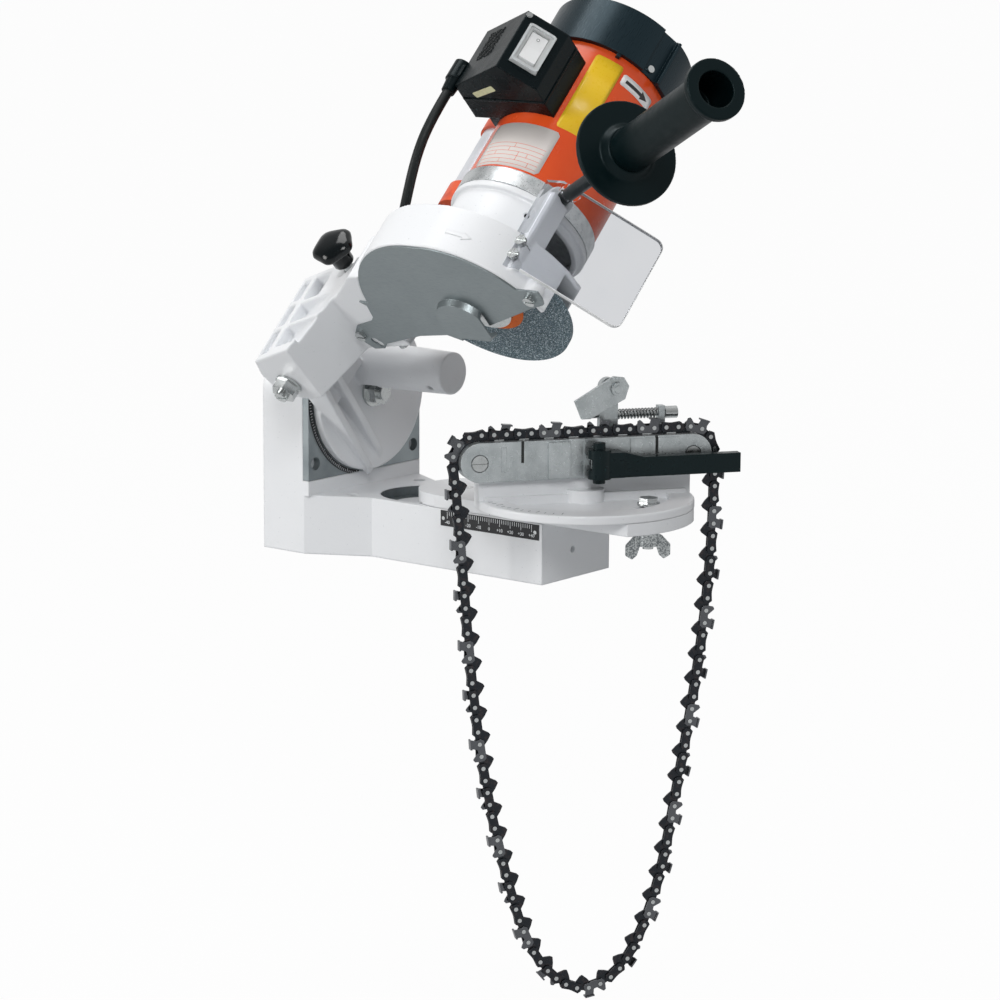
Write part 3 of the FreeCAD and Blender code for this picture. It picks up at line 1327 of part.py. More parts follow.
def make_swivel_plate():
    """Half-round table with an engraved rim, a clamping slot and the wall under the rails."""
    low = "arm_top+gap"
    disc = rod("table_round", low, "table_rim")
    half = box("vise_wall_back-3", "table_round+1", "-table_round-1", "table_round+1", low + "-1", "rail_foot")
    doc.recompute()
    rim = size("table_rim")
    bevelled = rounded(disc, 1.6, lambda edge, middle: level(edge, "z", rim))
    pocket = cut(rod("table_pocket_round", "table_rim-table_pocket", "table_rim+1"),
                 box("-table_round", "vise_wall_front+3", "-table_round", "table_round", "0", "90"))
    wall = box("vise_wall_back", "vise_wall_front", "-vise_wall_half", "vise_wall_half",
               "table_rim-1", "rail_foot")
    foot = box("vise_wall_back", "vise_wall_front+3", "-vise_wall_half+4", "vise_wall_half-4",
               "table_rim-1", "table_rim+3")
    boss = rod("table_boss", "table_rim-table_pocket-1", "table_boss_top")
    pivot_bore = rod("table_bolt_thick/2+fit", "0", "table_boss_top-3")
    turn = "slot_turn+swivel"
    sweep = "2*swivel+3"
    arc = cut(tube("slot_at+slot_wide/2", "slot_at-slot_wide/2", "arm_top", "table_rim+1"),
              turned_about_z(box("-90", "90", "0", "90", "0", "90"), turn + "+1.5"),
              turned_about_z(box("-90", "90", "-90", "0", "0", "90"), turn + "-(" + sweep + ")"))
    ends = [rod("slot_wide/2", "arm_top", "table_rim+1", "slot_at*cos(%s)" % angle,
                "slot_at*sin(%s)" % angle) for angle in (turn + "+1.5", "(" + turn + "-(" + sweep + "))")]
    ends[0] = rod("slot_wide/2", "arm_top", "table_rim+1", "slot_at*cos(%s+1.5)" % turn,
                  "slot_at*sin(%s+1.5)" % turn)
    body = cut(common(bevelled, half), pocket)
    return cut(fuse(body, wall, foot, boss), pivot_bore, arc, *ends)


node("swivel_plate", make_swivel_plate(), "vise")


def rail_blank(x0, x1):
    """A rail with fully rounded ends."""
    round_end = "(rail_top-rail_foot)/2"
    middle = "(rail_top+rail_foot)/2"
    ends = [rod(round_end, x0, x1, y, middle, "x")
            for y in ("-rail_half+" + round_end, "rail_half-" + round_end)]
    middle_run = box(x0, x1, "-rail_half+" + round_end, "rail_half-" + round_end, "rail_foot", "rail_top")
    return fuse(middle_run, *ends)


def make_back_rail():
    """Fixed rail on the wall, with the lug of the stop's adjusting screw."""
    body = rail_blank("-rail_face", "-slot_half")
    rod_bore = rod("clamp_rod_round+fit", "-rail_face-9", "1", "lever_at", "rod_tall", "x")
    screw_bores = [rod("2.5", "-rail_face-1", "1", y, "rod_tall+2.5", "x")
                   for y in ("-rail_screw_at", "rail_screw_at")]
    ledge = box("post_back", "-rail_face+0.5", "post_left-2", "lug_right", "rail_top-10", "rail_top-4")
    lug = box("post_back", "post_front", "lug_right-5", "lug_right", "rail_top-5", "adjust_tall+5.5")
    bore = rod("adjust_round+fit", "lug_right-9", "lug_right+2", "adjust_back", "adjust_tall", "y")
    return cut(fuse(body, ledge, lug), rod_bore, bore, *screw_bores)


node("back_rail", make_back_rail(), "vise")


def make_front_rail():
    """Moving jaw rail, closed on the chain by the cam lever."""
    body = fuse(rail_blank("slot_half", "rail_face"),
                box("rail_face-1", "rail_face+pad_proud", "pad_left", "pad_right", "rail_foot+1",
                    "rail_top-1.5"),
                box("rail_face-1", "rail_face+0.9", "33", "71", "rail_foot+12", "rail_top-1.5"))
    grooves = [box("rail_face-1.2", "rail_face+3", "-51", "-48.8", "rail_top-16", "rail_top+1"),
               box("rail_face-1.2", "rail_face+3", "52.5", "54.7", "rail_top-14", "rail_top+1"),
               box("rail_face-0.5", "rail_face+3", "-66", "-62", "rail_top-22", "rail_top-4"),
               box("rail_face-1.2", "rail_face+3", "pad_right", "lever_at-8.5", "rail_foot-1", "rail_top+1")]
    rod_bore = rod("clamp_rod_round+0.4", "0", "rail_face+9", "lever_at", "rod_tall", "x")
    screw_ways = []
    for y in ("-rail_screw_at", "rail_screw_at"):
        screw_ways.append(rod("rail_screw_round+0.6", "rail_face-3.4", "rail_face+4", y, "rod_tall+2.5", "x"))
        screw_ways.append(rod("3", "0", "rail_face+1", y, "rod_tall+2.5", "x"))
    return cut(body, rod_bore, *(grooves + screw_ways))


node("front_rail", make_front_rail(), "vise")


def make_rail_screws():
    """Two slotted shoulder screws that guide the jaw rail."""
    return group(*[screw("rail_screw_round", "2.4", "2.45", "rail_face-3.4+jaw_play+2.5", "-rail_face",
                         y, "rod_tall+2.5", "x") for y in ("-rail_screw_at", "rail_screw_at")])


node("rail_screws", make_rail_screws(), "vise")


def make_clamp_rod():
    """Pull rod through both rails, with an eye for the lever's pin and a nut behind."""
    shank = rod("clamp_rod_round", "-rail_face-5.5", "lever_front", "lever_at", "rod_tall", "x")
    eye = rod("6", "rod_tall-eye_half", "rod_tall+eye_half", "lever_front", "lever_at")
    nut = hexagon("11", "-rail_face-6", "-rail_face", "lever_at", "rod_tall", "x")
    return cut(fuse(shank, eye, nut), rod("lever_pin+fit", "0", "200", "lever_front", "lever_at"))


node("clamp_rod", make_clamp_rod(), "vise")


def make_clamp_lever():
    """Cam lever with its upright pin."""
    cam = rod("cam_round", "rod_tall-lever_half", "rod_tall+lever_half",
              "lever_front-cam_throw", "lever_at+cam_throw")
    block = box("lever_front-6", "lever_front+6.5", "lever_at", "lever_at+18",
                "rod_tall-lever_half+1", "rod_tall+lever_half-2")
    handle = prism([("lever_front-4.5", "lever_at+10"), ("lever_front+5", "lever_at+10"),
                    ("lever_front+4.6", "lever_tip"), ("lever_front-3.4", "lever_tip")],
                   "rod_tall-grip_below", "rod_tall+grip_above")
    slope = prism([("lever_at+17", "rod_tall-lever_half+1"), ("lever_at+34", "rod_tall-grip_below"),
                   ("lever_at+34", "rod_tall+grip_above"), ("lever_at+17", "rod_tall+lever_half-2")],
                  "lever_front-4.4", "lever_front+4.9", "x")
    fork = fuse(rod("6+gap", "rod_tall-eye_half-gap", "rod_tall+eye_half+gap", "lever_front", "lever_at"),
                box("0", "lever_front", "lever_at-clamp_rod_round-gap", "lever_at+30",
                    "rod_tall-clamp_rod_round-gap", "rod_tall+clamp_rod_round+gap"),
                box("lever_front-20", "lever_front+clamp_rod_round+gap", "lever_at-20", "lever_at+8",
                    "rod_tall-clamp_rod_round-gap", "rod_tall+clamp_rod_round+gap"))
    pin = rod("lever_pin", "rod_tall-lever_half-3.4", "rod_tall+lever_half+5", "lever_front", "lever_at")
    return fuse(cut(fuse(cam, block, slope, handle), fork), pin)


node("clamp_lever", make_clamp_lever(), "vise")


def make_stop_slide():
    """Sliding post behind the chain that carries the stop pawl on its pin."""
    foot = box("post_back", "post_front", "post_left", "post_right", "rail_top-4+gap", "pawl_tall")
    head = rod("(post_right-post_left)/2", "post_back", "post_front", "pawl_at-3", "pawl_tall", "x")
    pin = rod("pawl_pin", "post_front-1", "pawl_thick/2+2.4", "pawl_at", "pawl_tall", "x")
    clip = rod("pawl_pin+2.2", "pawl_thick/2+gap+0.4", "pawl_thick/2+gap+1.4", "pawl_at", "pawl_tall", "x")
    spacer = rod("pawl_pin+2", "post_front-1", "-pawl_thick/2-gap", "pawl_at", "pawl_tall", "x")
    bore = rod("adjust_round+fit", "post_left-2", "post_right+2", "adjust_back", "adjust_tall", "y")
    return cut(fuse(foot, head, pin, clip, spacer), bore)


node("stop_slide", make_stop_slide(), "vise")


def make_chain_stop():
    """Stop pawl: a steel flap that drops behind a cutter."""
    outline = [("pawl_at+9", "pawl_tall+2"), ("pawl_at+5", "pawl_tall+8.5"), ("pawl_at-3", "pawl_tall+9.5"),
               ("-8", "133"), ("-2.5", "119.5"), ("4", "119.5"), ("pawl_at+6", "pawl_tall-7.5")]
    blank = prism(outline, "-pawl_thick/2", "pawl_thick/2", "x")
    return cut(blank, rod("pawl_pin+fit", "-5", "5", "pawl_at", "pawl_tall", "x"))


node("chain_stop", make_chain_stop(), "vise")


def make_stop_spring():
    """Coil spring between the post and the lug, round the adjusting screw."""
    start = size("post_right") + size("coil_wire") / 2
    end = size("coil_right")
    rise = 2.45
    turns = int((end - start) / rise)
    radius = size("coil_round") - size("coil_wire") / 2
    rise = (end - start - size("coil_wire") / 2) / turns
    coil = wound(Part.makeHelix, size("coil_wire") / 2, radius, rise, turns)
    coil.rotate(Vec(), Vec(1, 0, 0), -90)
    coil.translate(Vec(size("adjust_back"), start + size("gap"), size("adjust_tall")))
    return Part.makeCompound([coil])


node("stop_spring", feature("Spring", make_stop_spring()), "vise")


def make_stop_screw():
    """Adjusting screw of the stop, with a knurled head past the lug."""
    shank = rod("adjust_round", "post_left-6", "lug_right+1", "adjust_back", "adjust_tall", "y")
    head = rod("4.6", "lug_right+gap", "adjust_tip", "adjust_back", "adjust_tall", "y")
    return fuse(shank, head)


node("stop_screw", make_stop_screw(), "vise")

# ---------------------------------------------------------------- saw chain
# Rivet line, in the plane of the rails: along the top of the rails, round both
# ends, and down in a hanging loop.  Pairs are (along the rails, height).

rivet_line = size("rail_top") + size("plate_half") + size("chain_clear")
end_round = (size("rail_top") - size("rail_foot")) / 2
turn_round = end_round + rivet_line - size("rail_top")
turn_at = size("rail_half") - end_round
turn_tall = (size("rail_top") + size("rail_foot")) / 2
HANG = [(-97, 47), (-87.5, -62), (-72, -171), (-53, -248), (-26, -305), (2, -322), (26, -314),
        (44, -291), (59, -254), (74, -184), (91, -80), (99, -10), (102, 45)]


def chain_path(stretch):
    """The closed rivet line, its hanging part stretched downwards."""
    left = Vec(0, -turn_at - turn_round, turn_tall)
    right = Vec(0, turn_at + turn_round, turn_tall)
    drop = size("loop_low") / -322.0 * stretch
    low = [Vec(0, y, turn_tall + (z - turn_tall) * drop) for y, z in HANG]
    hanging = Part.BSplineCurve()
    hanging.interpolate([left] + low + [right])
    top = Part.makeLine(Vec(0, turn_at, rivet_line), Vec(0, -turn_at, rivet_line))
    reach = turn_round * math.sqrt(0.5)
    left_turn = Part.Arc(Vec(0, -turn_at, rivet_line), Vec(0, -turn_at - reach, turn_tall + reach), left)
    right_turn = Part.Arc(right, Vec(0, turn_at + reach, turn_tall + reach), Vec(0, turn_at, rivet_line))
    return Part.Wire([top, left_turn.toShape(), hanging.toShape(), right_turn.toShape()])


def fitted_path():
    """The path whose length is a whole number of pitches."""
    goal = 2 * size("drive_links") * size("pitch")
    low, high = 0.3, 3.0
    for _ in range(40):
        middle = (low + high) / 2
        if chain_path(middle).Length < goal:
            low = middle
        else:
            high = middle
    return chain_path(low), low


path, stretch = fitted_path()
rivets = path.discretize(Number=int(2 * size("drive_links")) + 1)[:-1]
print("chain stretch %.4f, %d rivets, loop bottom %.1f" % (stretch, len(rivets), min(p.z for p in rivets)))


def link_frame(index):
    """Placement with y from one rivet to the next and z outwards from the loop."""
    here = rivets[index % len(rivets)]
    there = rivets[(index + 1) % len(rivets)]
    run = (there - here).normalize()
    angle = math.degrees(math.atan2(-run.z, -run.y))
    middle = (here + there) * 0.5
    turn = FreeCAD.Rotation(Vec(1, 0, 0), angle)
    return FreeCAD.Placement(middle, turn)


def flat(points, x0, x1):
    """A flat plate across the chain from an outline of (along, out) points."""
    spots = [Vec(x0, y, z) for y, z in points]
    face = Part.Face(Part.makePolygon(spots + spots[:1]))
    return face.extrude(Vec(x1 - x0, 0, 0))


def pierced(plate, x0, x1):
    """A plate with its two rivet holes."""
    hole = size("rivet_round") + 0.12
    for y in (-size("pitch") / 2, size("pitch") / 2):
        plate = plate.cut(Part.makeCylinder(hole, x1 - x0 + 2, Vec(x0 - 1, y, 0), Vec(1, 0, 0)))
    return plate


def oval(half, slim):
    """Outline of a tie strap, waisted between its rivets."""
    reach = size("pitch") / 2 + half
    return [(-reach, 0.45 * half), (-reach + 0.45 * half, half), (-1.2, slim * half), (1.2, slim * half),
            (reach - 0.45 * half, half), (reach, 0.45 * half), (reach, -0.45 * half),
            (reach - 0.45 * half, -half), (-reach + 0.45 * half, -half), (-reach, -0.45 * half)]


def drive_link():
    """Centre link with the tang that runs in the slot."""
    half = size("link_thick") / 2
    reach = size("pitch") / 2 + size("plate_half") * 0.9
    deep = size("tang_deep")
    outline = [(-reach, 1.5), (-reach + 2, 3.2), (-1.5, 2.2), (1.5, 2.2), (reach - 2, 3.2), (reach, 1.5),
               (reach, -1.5), (reach - 2.2, -3.6), (2.4, -deep + 1), (0.6, -deep), (-3.2, -deep + 2.6),
               (-reach + 1.2, -3.4), (-reach, -1.5)]
    return pierced(flat(outline, -half, half), -half, half)


inner = size("link_thick") / 2 + 0.08
outer = inner + size("plate_wide")


def tie_strap(side):
    """Side plate on one side of the chain."""
    x0, x1 = (inner, outer) if side > 0 else (-outer, -inner)
    return pierced(flat(oval(size("plate_half"), 0.8), x0, x1), x0, x1)


def cutter(side):
    """Cutting link: side plate with a depth gauge and a top plate bent over the chain."""
    half = size("plate_half")
    reach = size("pitch") / 2 + half
    outline = [(-reach, 0.4 * half), (-reach + 0.5, 5.4), (-reach + 2.2, 6.4), (-reach + 3.4, 5.6), (-1.6, 1.8),
               (1.0, 2.2), (2.4, 6.4), (reach + 0.6, 6.0), (reach - 0.6, 2.6), (reach, -0.4 * half),
               (reach - 0.45 * half, -half), (-reach + 0.45 * half, -half), (-reach, -0.4 * half)]
    x0, x1 = (inner, outer) if side > 0 else (-outer, -inner)
    body = pierced(flat(outline, x0, x1), x0, x1)
    over = 4.6
    edge0, edge1 = (x1 - over, x1 + 0.9) if side > 0 else (x0 - 0.9, x0 + over)
    top = flat([(1.9, 6.2), (reach + 0.7, 5.7), (reach + 0.7, 6.9), (1.9, 7.5)], edge0, edge1)
    return body.fuse(top).removeSplitter()


def spread(shape, indices):
    """Copies of a link set along the chain."""
    copies = []
    for index in indices:
        one = shape.copy()
        one.Placement = link_frame(index).multiply(one.Placement)
        copies.append(one)
    return Part.makeCompound(copies)


total = len(rivets)
drive_places = range(0, total, 2)
strap_places = [place for place in range(1, total, 2) if place % 4 == 1]
cutter_places = list(range(3, total, 4))
left_places = cutter_places[0::2]
right_places = cutter_places[1::2]

strap_shapes = [spread(tie_strap(1), strap_places + right_places),
                spread(tie_strap(-1), strap_places + left_places)]
cutter_shapes = [spread(cutter(1), left_places), spread(cutter(-1), right_places)]
rivet_shapes = []
for spot in rivets:
    rivet_shapes.append(Part.makeCylinder(size("rivet_round"), 2 * outer + 0.7,
                                          spot - Vec(outer + 0.35, 0, 0), Vec(1, 0, 0)))

node("chain_drive_links", feature("Links", spread(drive_link(), drive_places)), "vise")
node("chain_tie_straps", feature("Straps", Part.makeCompound(
    [one for shape in strap_shapes for one in shape.Solids])), "vise")
node("chain_cutters", feature("Cutters", Part.makeCompound(
    [one for shape in cutter_shapes for one in shape.Solids])), "vise")
node("chain_rivets", feature("Rivets", Part.makeCompound(rivet_shapes)), "vise")

# ---------------------------------------------------------------- mains cord
# Head frame: corner points of the cord from the gland to the coil behind the guard.

CORD = [("gland_x", "gland_out", "gland_low"), ("gland_x", "gland_out", 96.5), (51, -205, 70.5),
        (43, -183, 45.5), (25, -155, 38), (3, -132, 41), (-7, -107, 41), (-7, -90, 41)]
COIL = Vec(size("coil_x"), size("coil_out"), size("coil_up"))


def cord_wire(points):
    """Straight runs joined by tangent arcs, as large as each pair of runs allows."""
    edges = []
    start = points[0]
    for before, here, after in zip(points, points[1:], points[2:]):
        back = (before - here)
        on = (after - here)
        turn = math.pi - back.getAngle(on)
        shorter = min(back.Length, on.Length)
        trim = 0.45 * shorter
        radius = trim / math.tan(turn / 2)
        enter = here + back.normalize() * trim
        leave = here + on.normalize() * trim
        bisector = (enter + leave) * 0.5 - here
        reach = math.hypot(radius, trim) - radius
        middle = here + bisector.normalize() * reach
        edges.append(Part.makeLine(start, enter))
        edges.append(Part.Arc(enter, middle, leave).toShape())
        start = leave
    edges.append(Part.makeLine(start, points[-1]))
    return Part.Wire(edges)


def make_cord():
    """The hanging stretch of the cord as one tube."""
    points = [Vec(*[size(part) if isinstance(part, str) else part for part in spot]) for spot in CORD]
    wire = cord_wire(points)
    first = (points[1] - points[0]).normalize()
    ring = Part.Wire([Part.makeCircle(size("cord_round"), points[0], first)])
    return Part.makeCompound([wire.makePipeShell([ring], True, False)])


node("mains_cord", feature("Cord", make_cord()), "head")


def make_coil():
    """The rest of the cord wound in a tied coil, as one ring."""
    ring = Part.makeTorus(size("coil_turn"), size("coil_thick"), COIL, Vec(0, 0, 1))
    return Part.makeCompound([ring])


node("cord_coil", feature("Coil", make_coil()), "head")


def make_plug():
    """Two-pin mains plug tied on top of the coil."""
    round_body = size("plug_round")
    long_body = size("plug_long")
    middle = COIL + Vec(8.5, size("plug_off"), size("coil_thick") + round_body)
    along_x = Vec(1, 0, 0)
    body = Part.makeCylinder(round_body, long_body, middle, along_x)
    tail = Part.makeCone(round_body * 0.5, round_body * 0.75, 9, middle - Vec(8.5, 0, 0), along_x)
    pins = [Part.makeCylinder(size("plug_pin_round"), size("plug_pin_long") + 0.5,
                              middle + Vec(long_body - 0.5, side * size("plug_pin_out"), 0), along_x)
            for side in (-1, 1)]
    return Part.makeCompound([body.fuse([tail] + pins)])


node("mains_plug", feature("Plug", make_plug()), "head")

# ---------------------------------------------------------------- check and write

doc.recompute()
bad = []
for item in doc.Objects:
    if "Invalid" in item.State or "Error" in item.State:
        bad.append("%s (%s) %s" % (item.Name, item.Label, item.State))
for item in nodes:
    if item.Shape.isNull() or not item.Shape.isValid() or not item.Shape.Solids:
        bad.append("%s has no valid solid" % item.Label)
if bad:
    raise SystemExit("\n".join(bad))
os.makedirs("parts", exist_ok=True)
for item in nodes:
    item.Shape.exportStep("parts/%s.step" % item.Label)
print("%d nodes written" % len(nodes))
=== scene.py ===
import math

import bmesh
import bpy
from mathutils import Matrix, Vector


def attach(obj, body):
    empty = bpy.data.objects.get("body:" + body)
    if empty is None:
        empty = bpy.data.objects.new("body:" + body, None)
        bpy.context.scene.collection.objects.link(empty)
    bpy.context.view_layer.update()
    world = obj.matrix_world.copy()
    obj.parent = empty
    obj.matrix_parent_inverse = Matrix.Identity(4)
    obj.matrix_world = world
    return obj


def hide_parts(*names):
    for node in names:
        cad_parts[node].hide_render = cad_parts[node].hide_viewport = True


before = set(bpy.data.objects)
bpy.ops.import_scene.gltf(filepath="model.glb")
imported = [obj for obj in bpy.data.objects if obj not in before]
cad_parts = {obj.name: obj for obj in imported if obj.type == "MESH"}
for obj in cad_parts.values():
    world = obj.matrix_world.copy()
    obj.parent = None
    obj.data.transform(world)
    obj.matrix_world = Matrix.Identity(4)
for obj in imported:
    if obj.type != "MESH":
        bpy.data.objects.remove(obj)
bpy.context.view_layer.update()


# ---------------------------------------------------------------- studio
# A long lens looks down a little on the operator's corner. One soft lamp stands low on the left in front,
# a stronger one high on the right, and a third hangs above. The paper below and behind is white.
CAMERA_PLACE = Vector((1.6214, -1.9774, 0.5237))
CAMERA_ROUND = math.radians(38.4)
CAMERA_UP = math.radians(10.65)
CAMERA_ROLL = math.radians(0.3)
LENS, SENSOR_WIDE = 122.4, 36.0
FARTHEST = 100.0
camera_data = bpy.data.cameras.new("camera")
camera_data.lens = LENS
camera_data.sensor_width = SENSOR_WIDE
camera_data.clip_end = FARTHEST
camera = bpy.data.objects.new("camera", camera_data)
bpy.context.scene.collection.objects.link(camera)
level_right = Vector((math.cos(CAMERA_ROUND), math.sin(CAMERA_ROUND), 0))
backward = Vector((math.sin(CAMERA_ROUND) * math.cos(CAMERA_UP),
                   -math.cos(CAMERA_ROUND) * math.cos(CAMERA_UP), math.sin(CAMERA_UP)))
level_up = level_right.cross(-backward)
right = level_right * math.cos(CAMERA_ROLL) + level_up * math.sin(CAMERA_ROLL)
upward = level_up * math.cos(CAMERA_ROLL) - level_right * math.sin(CAMERA_ROLL)
stance = Matrix((right, upward, backward)).transposed().to_4x4()
camera.matrix_world = Matrix.Translation(CAMERA_PLACE) @ stance
bpy.context.scene.camera = camera
bpy.context.scene.view_settings.view_transform = "Standard"


def soft_lamp(name, place, side, watts, colour=(1, 1, 1)):
    """Square softbox that faces the middle of the machine."""
    lamp_data = bpy.data.lights.new(name, "AREA")
    lamp_data.shape = "SQUARE"
    lamp_data.size = side
    lamp_data.energy = watts
    lamp_data.color = colour
    lamp = bpy.data.objects.new(name, lamp_data)
    lamp.location = place
    lamp.rotation_euler = (Vector(LIT_MIDDLE) - Vector(place)).to_track_quat("-Z", "Y").to_euler()
    bpy.context.scene.collection.objects.link(lamp)


LIT_MIDDLE = (0.05, 0, 0.10)
WARM_WHITE = (1.0, 0.985, 0.965)
soft_lamp("left_lamp", (-1.8, -2.6, 0.8), 1.3, 41, WARM_WHITE)
soft_lamp("right_lamp", (1.9, -2.4, 2.4), 1.3, 54)
soft_lamp("top_lamp", (-0.5, 0.0, 2.6), 1.5, 30)


def seen_straight(tree):
    """Light path, and a value that is 1 where the eye looks straight or through clear plastic."""
    path = tree.nodes.new("ShaderNodeLightPath")
    either = tree.nodes.new("ShaderNodeMath")
    either.operation = "MAXIMUM"
    tree.links.new(path.outputs["Is Camera Ray"], either.inputs[0])
    tree.links.new(path.outputs["Is Transmission Ray"], either.inputs[1])
    return path, either.outputs["Value"]


studio = bpy.data.worlds.new("studio")
bpy.context.scene.world = studio
studio.use_nodes = True
sky = studio.node_tree
sky.nodes.clear()
path, straight = seen_straight(sky)
# Mirror-like faces find white paper behind the machine and a dimmer room in front of it, and dull faces
# get a little light from all round.
ROOM_LIGHT = 0.23
way = sky.nodes.new("ShaderNodeTexCoord")
parts_of_way = sky.nodes.new("ShaderNodeSeparateXYZ")
sky.links.new(way.outputs["Generated"], parts_of_way.inputs[0])
mirrored_room = sky.nodes.new("ShaderNodeMapRange")
sky.links.new(parts_of_way.outputs["Y"], mirrored_room.inputs["Value"])
for socket, number in (("From Min", -0.5), ("From Max", 0.35), ("To Min", 0.18), ("To Max", 0.75)):
    mirrored_room.inputs[socket].default_value = number
unseen = sky.nodes.new("ShaderNodeMix")
sky.links.new(path.outputs["Is Glossy Ray"], unseen.inputs["Factor"])
unseen.inputs["A"].default_value = ROOM_LIGHT
sky.links.new(mirrored_room.outputs["Result"], unseen.inputs["B"])
strength = sky.nodes.new("ShaderNodeMix")
sky.links.new(straight, strength.inputs["Factor"])
sky.links.new(unseen.outputs["Result"], strength.inputs["A"])
strength.inputs["B"].default_value = 1.0
backdrop_light = sky.nodes.new("ShaderNodeBackground")
backdrop_light.inputs["Color"].default_value = (1, 1, 1, 1)
sky.links.new(strength.outputs["Result"], backdrop_light.inputs["Strength"])
world_out = sky.nodes.new("ShaderNodeOutputWorld")
sky.links.new(backdrop_light.outputs["Background"], world_out.inputs["Surface"])

# The floor is grey paper that glows where it is looked at, so it reads as white and still keeps a shadow.
FLOOR_LEVEL = -0.332
FLOOR_HALF = 40.0
PAPER_GREY = (0.55, 0.56, 0.57, 1)
GLOW_IN_MIRRORS, GLOW_SHARE = 0.45, 0.97
floor_mesh = bpy.data.meshes.new("floor")
floor_corners = [(x * FLOOR_HALF, y * FLOOR_HALF, FLOOR_LEVEL)
                 for x, y in ((-1, -1), (1, -1), (1, 1), (-1, 1))]
floor_mesh.from_pydata(floor_corners, [], [(0, 1, 2, 3)])
floor = bpy.data.objects.new("floor", floor_mesh)
bpy.context.scene.collection.objects.link(floor)
paper = bpy.data.materials.new("white_paper")
paper.use_nodes = True
tree = paper.node_tree
paper_shader = tree.nodes["Principled BSDF"]
paper_shader.inputs["Base Color"].default_value = PAPER_GREY
paper_shader.inputs["Roughness"].default_value = 0.9
glow = tree.nodes.new("ShaderNodeEmission")
glow.inputs["Color"].default_value = (1, 1, 1, 1)
path, straight = seen_straight(tree)
mirrored = tree.nodes.new("ShaderNodeMath")
mirrored.operation = "MULTIPLY_ADD"
tree.links.new(path.outputs["Is Glossy Ray"], mirrored.inputs[0])
mirrored.inputs[1].default_value = GLOW_IN_MIRRORS
tree.links.new(straight, mirrored.inputs[2])
share = tree.nodes.new("ShaderNodeMath")
share.operation = "MULTIPLY"
share.use_clamp = True
tree.links.new(mirrored.outputs["Value"], share.inputs[0])
share.inputs[1].default_value = GLOW_SHARE
blend_white = tree.nodes.new("ShaderNodeMixShader")
tree.links.new(share.outputs["Value"], blend_white.inputs["Fac"])
tree.links.new(paper_shader.outputs["BSDF"], blend_white.inputs[1])
tree.links.new(glow.outputs["Emission"], blend_white.inputs[2])
tree.links.new(blend_white.outputs["Shader"], tree.nodes["Material Output"].inputs["Surface"])
floor.data.materials.append(paper)


# ---------------------------------------------------------------- base
# Hollow iron casting with a tall column end, a machined deck and a long front beam. It is rubbed down
# and sprayed with a hard white enamel that shows a fine orange peel and a few dark specks.
def finish(name, colour, rough, metal=0.0, **sockets):
    """New finish on the standard shader. What is the same all over is set on the shader itself."""
    skin = bpy.data.materials.new(name)
    skin.use_nodes = True
    shader = skin.node_tree.nodes["Principled BSDF"]
    shader.inputs["Base Color"].default_value = (*colour, 1)
    shader.inputs["Roughness"].default_value = rough
    shader.inputs["Metallic"].default_value = metal
    for socket, value in sockets.items():
        shader.inputs[socket.replace("_", " ")].default_value = value
    return skin


def grain(skin, lump, stretch=(1, 1, 1), turn=(0, 0, 0), detail=3.0, kind="ShaderNodeTexNoise"):
    """Lumpy value from 0 to 1 fixed in the piece, one lump about this many metres across."""
    nodes = skin.node_tree.nodes
    where = nodes.get("where") or nodes.new("ShaderNodeTexCoord")
    where.name = "where"
    turned = nodes.new("ShaderNodeMapping")
    turned.vector_type = "TEXTURE"
    turned.inputs["Rotation"].default_value = turn
    turned.inputs["Scale"].default_value = [lump * share for share in stretch]
    skin.node_tree.links.new(where.outputs["Object"], turned.inputs["Vector"])
    lumps = nodes.new(kind)
    lumps.inputs["Scale"].default_value = 1.0
    if "Detail" in lumps.inputs:
        lumps.inputs["Detail"].default_value = detail
    skin.node_tree.links.new(turned.outputs["Vector"], lumps.inputs["Vector"])
    return lumps.outputs["Fac"] if "Fac" in lumps.outputs else lumps.outputs["Distance"]


def spread(skin, value, low, high, to_low=0.0, to_high=1.0):
    """Stretch the part of a value between low and high over another range."""
    stretched = skin.node_tree.nodes.new("ShaderNodeMapRange")
    skin.node_tree.links.new(value, stretched.inputs["Value"])
    for socket, number in (("From Min", low), ("From Max", high), ("To Min", to_low), ("To Max", to_high)):
        stretched.inputs[socket].default_value = number
    return stretched.outputs["Result"]


def stain(skin, share, colour):
    """Lay another colour over the finish where the share is high."""
    nodes, links = skin.node_tree.nodes, skin.node_tree.links
    socket = nodes["Principled BSDF"].inputs["Base Color"]
    mixed = nodes.new("ShaderNodeMix")
    mixed.data_type = "RGBA"
    before = socket.links[0].from_socket if socket.links else None
    if before:
        links.new(before, mixed.inputs[6])
    else:
        mixed.inputs[6].default_value = socket.default_value
    mixed.inputs[7].default_value = (*colour, 1)
    links.new(share, mixed.inputs[0])
    links.new(mixed.outputs[2], socket)


def patches(skin, lump, colour, most, low=0.4, high=0.7):
    """Cloudy patches of another colour, about this many metres across and at most this strong."""
    stain(skin, spread(skin, grain(skin, lump), low, high, 0.0, most), colour)


def gloss(skin, value, smooth, dull):
    """Roughness that follows a value, between these two."""
    rough = spread(skin, value, 0.3, 0.7, smooth, dull)
    skin.node_tree.links.new(rough, skin.node_tree.nodes["Principled BSDF"].inputs["Roughness"])


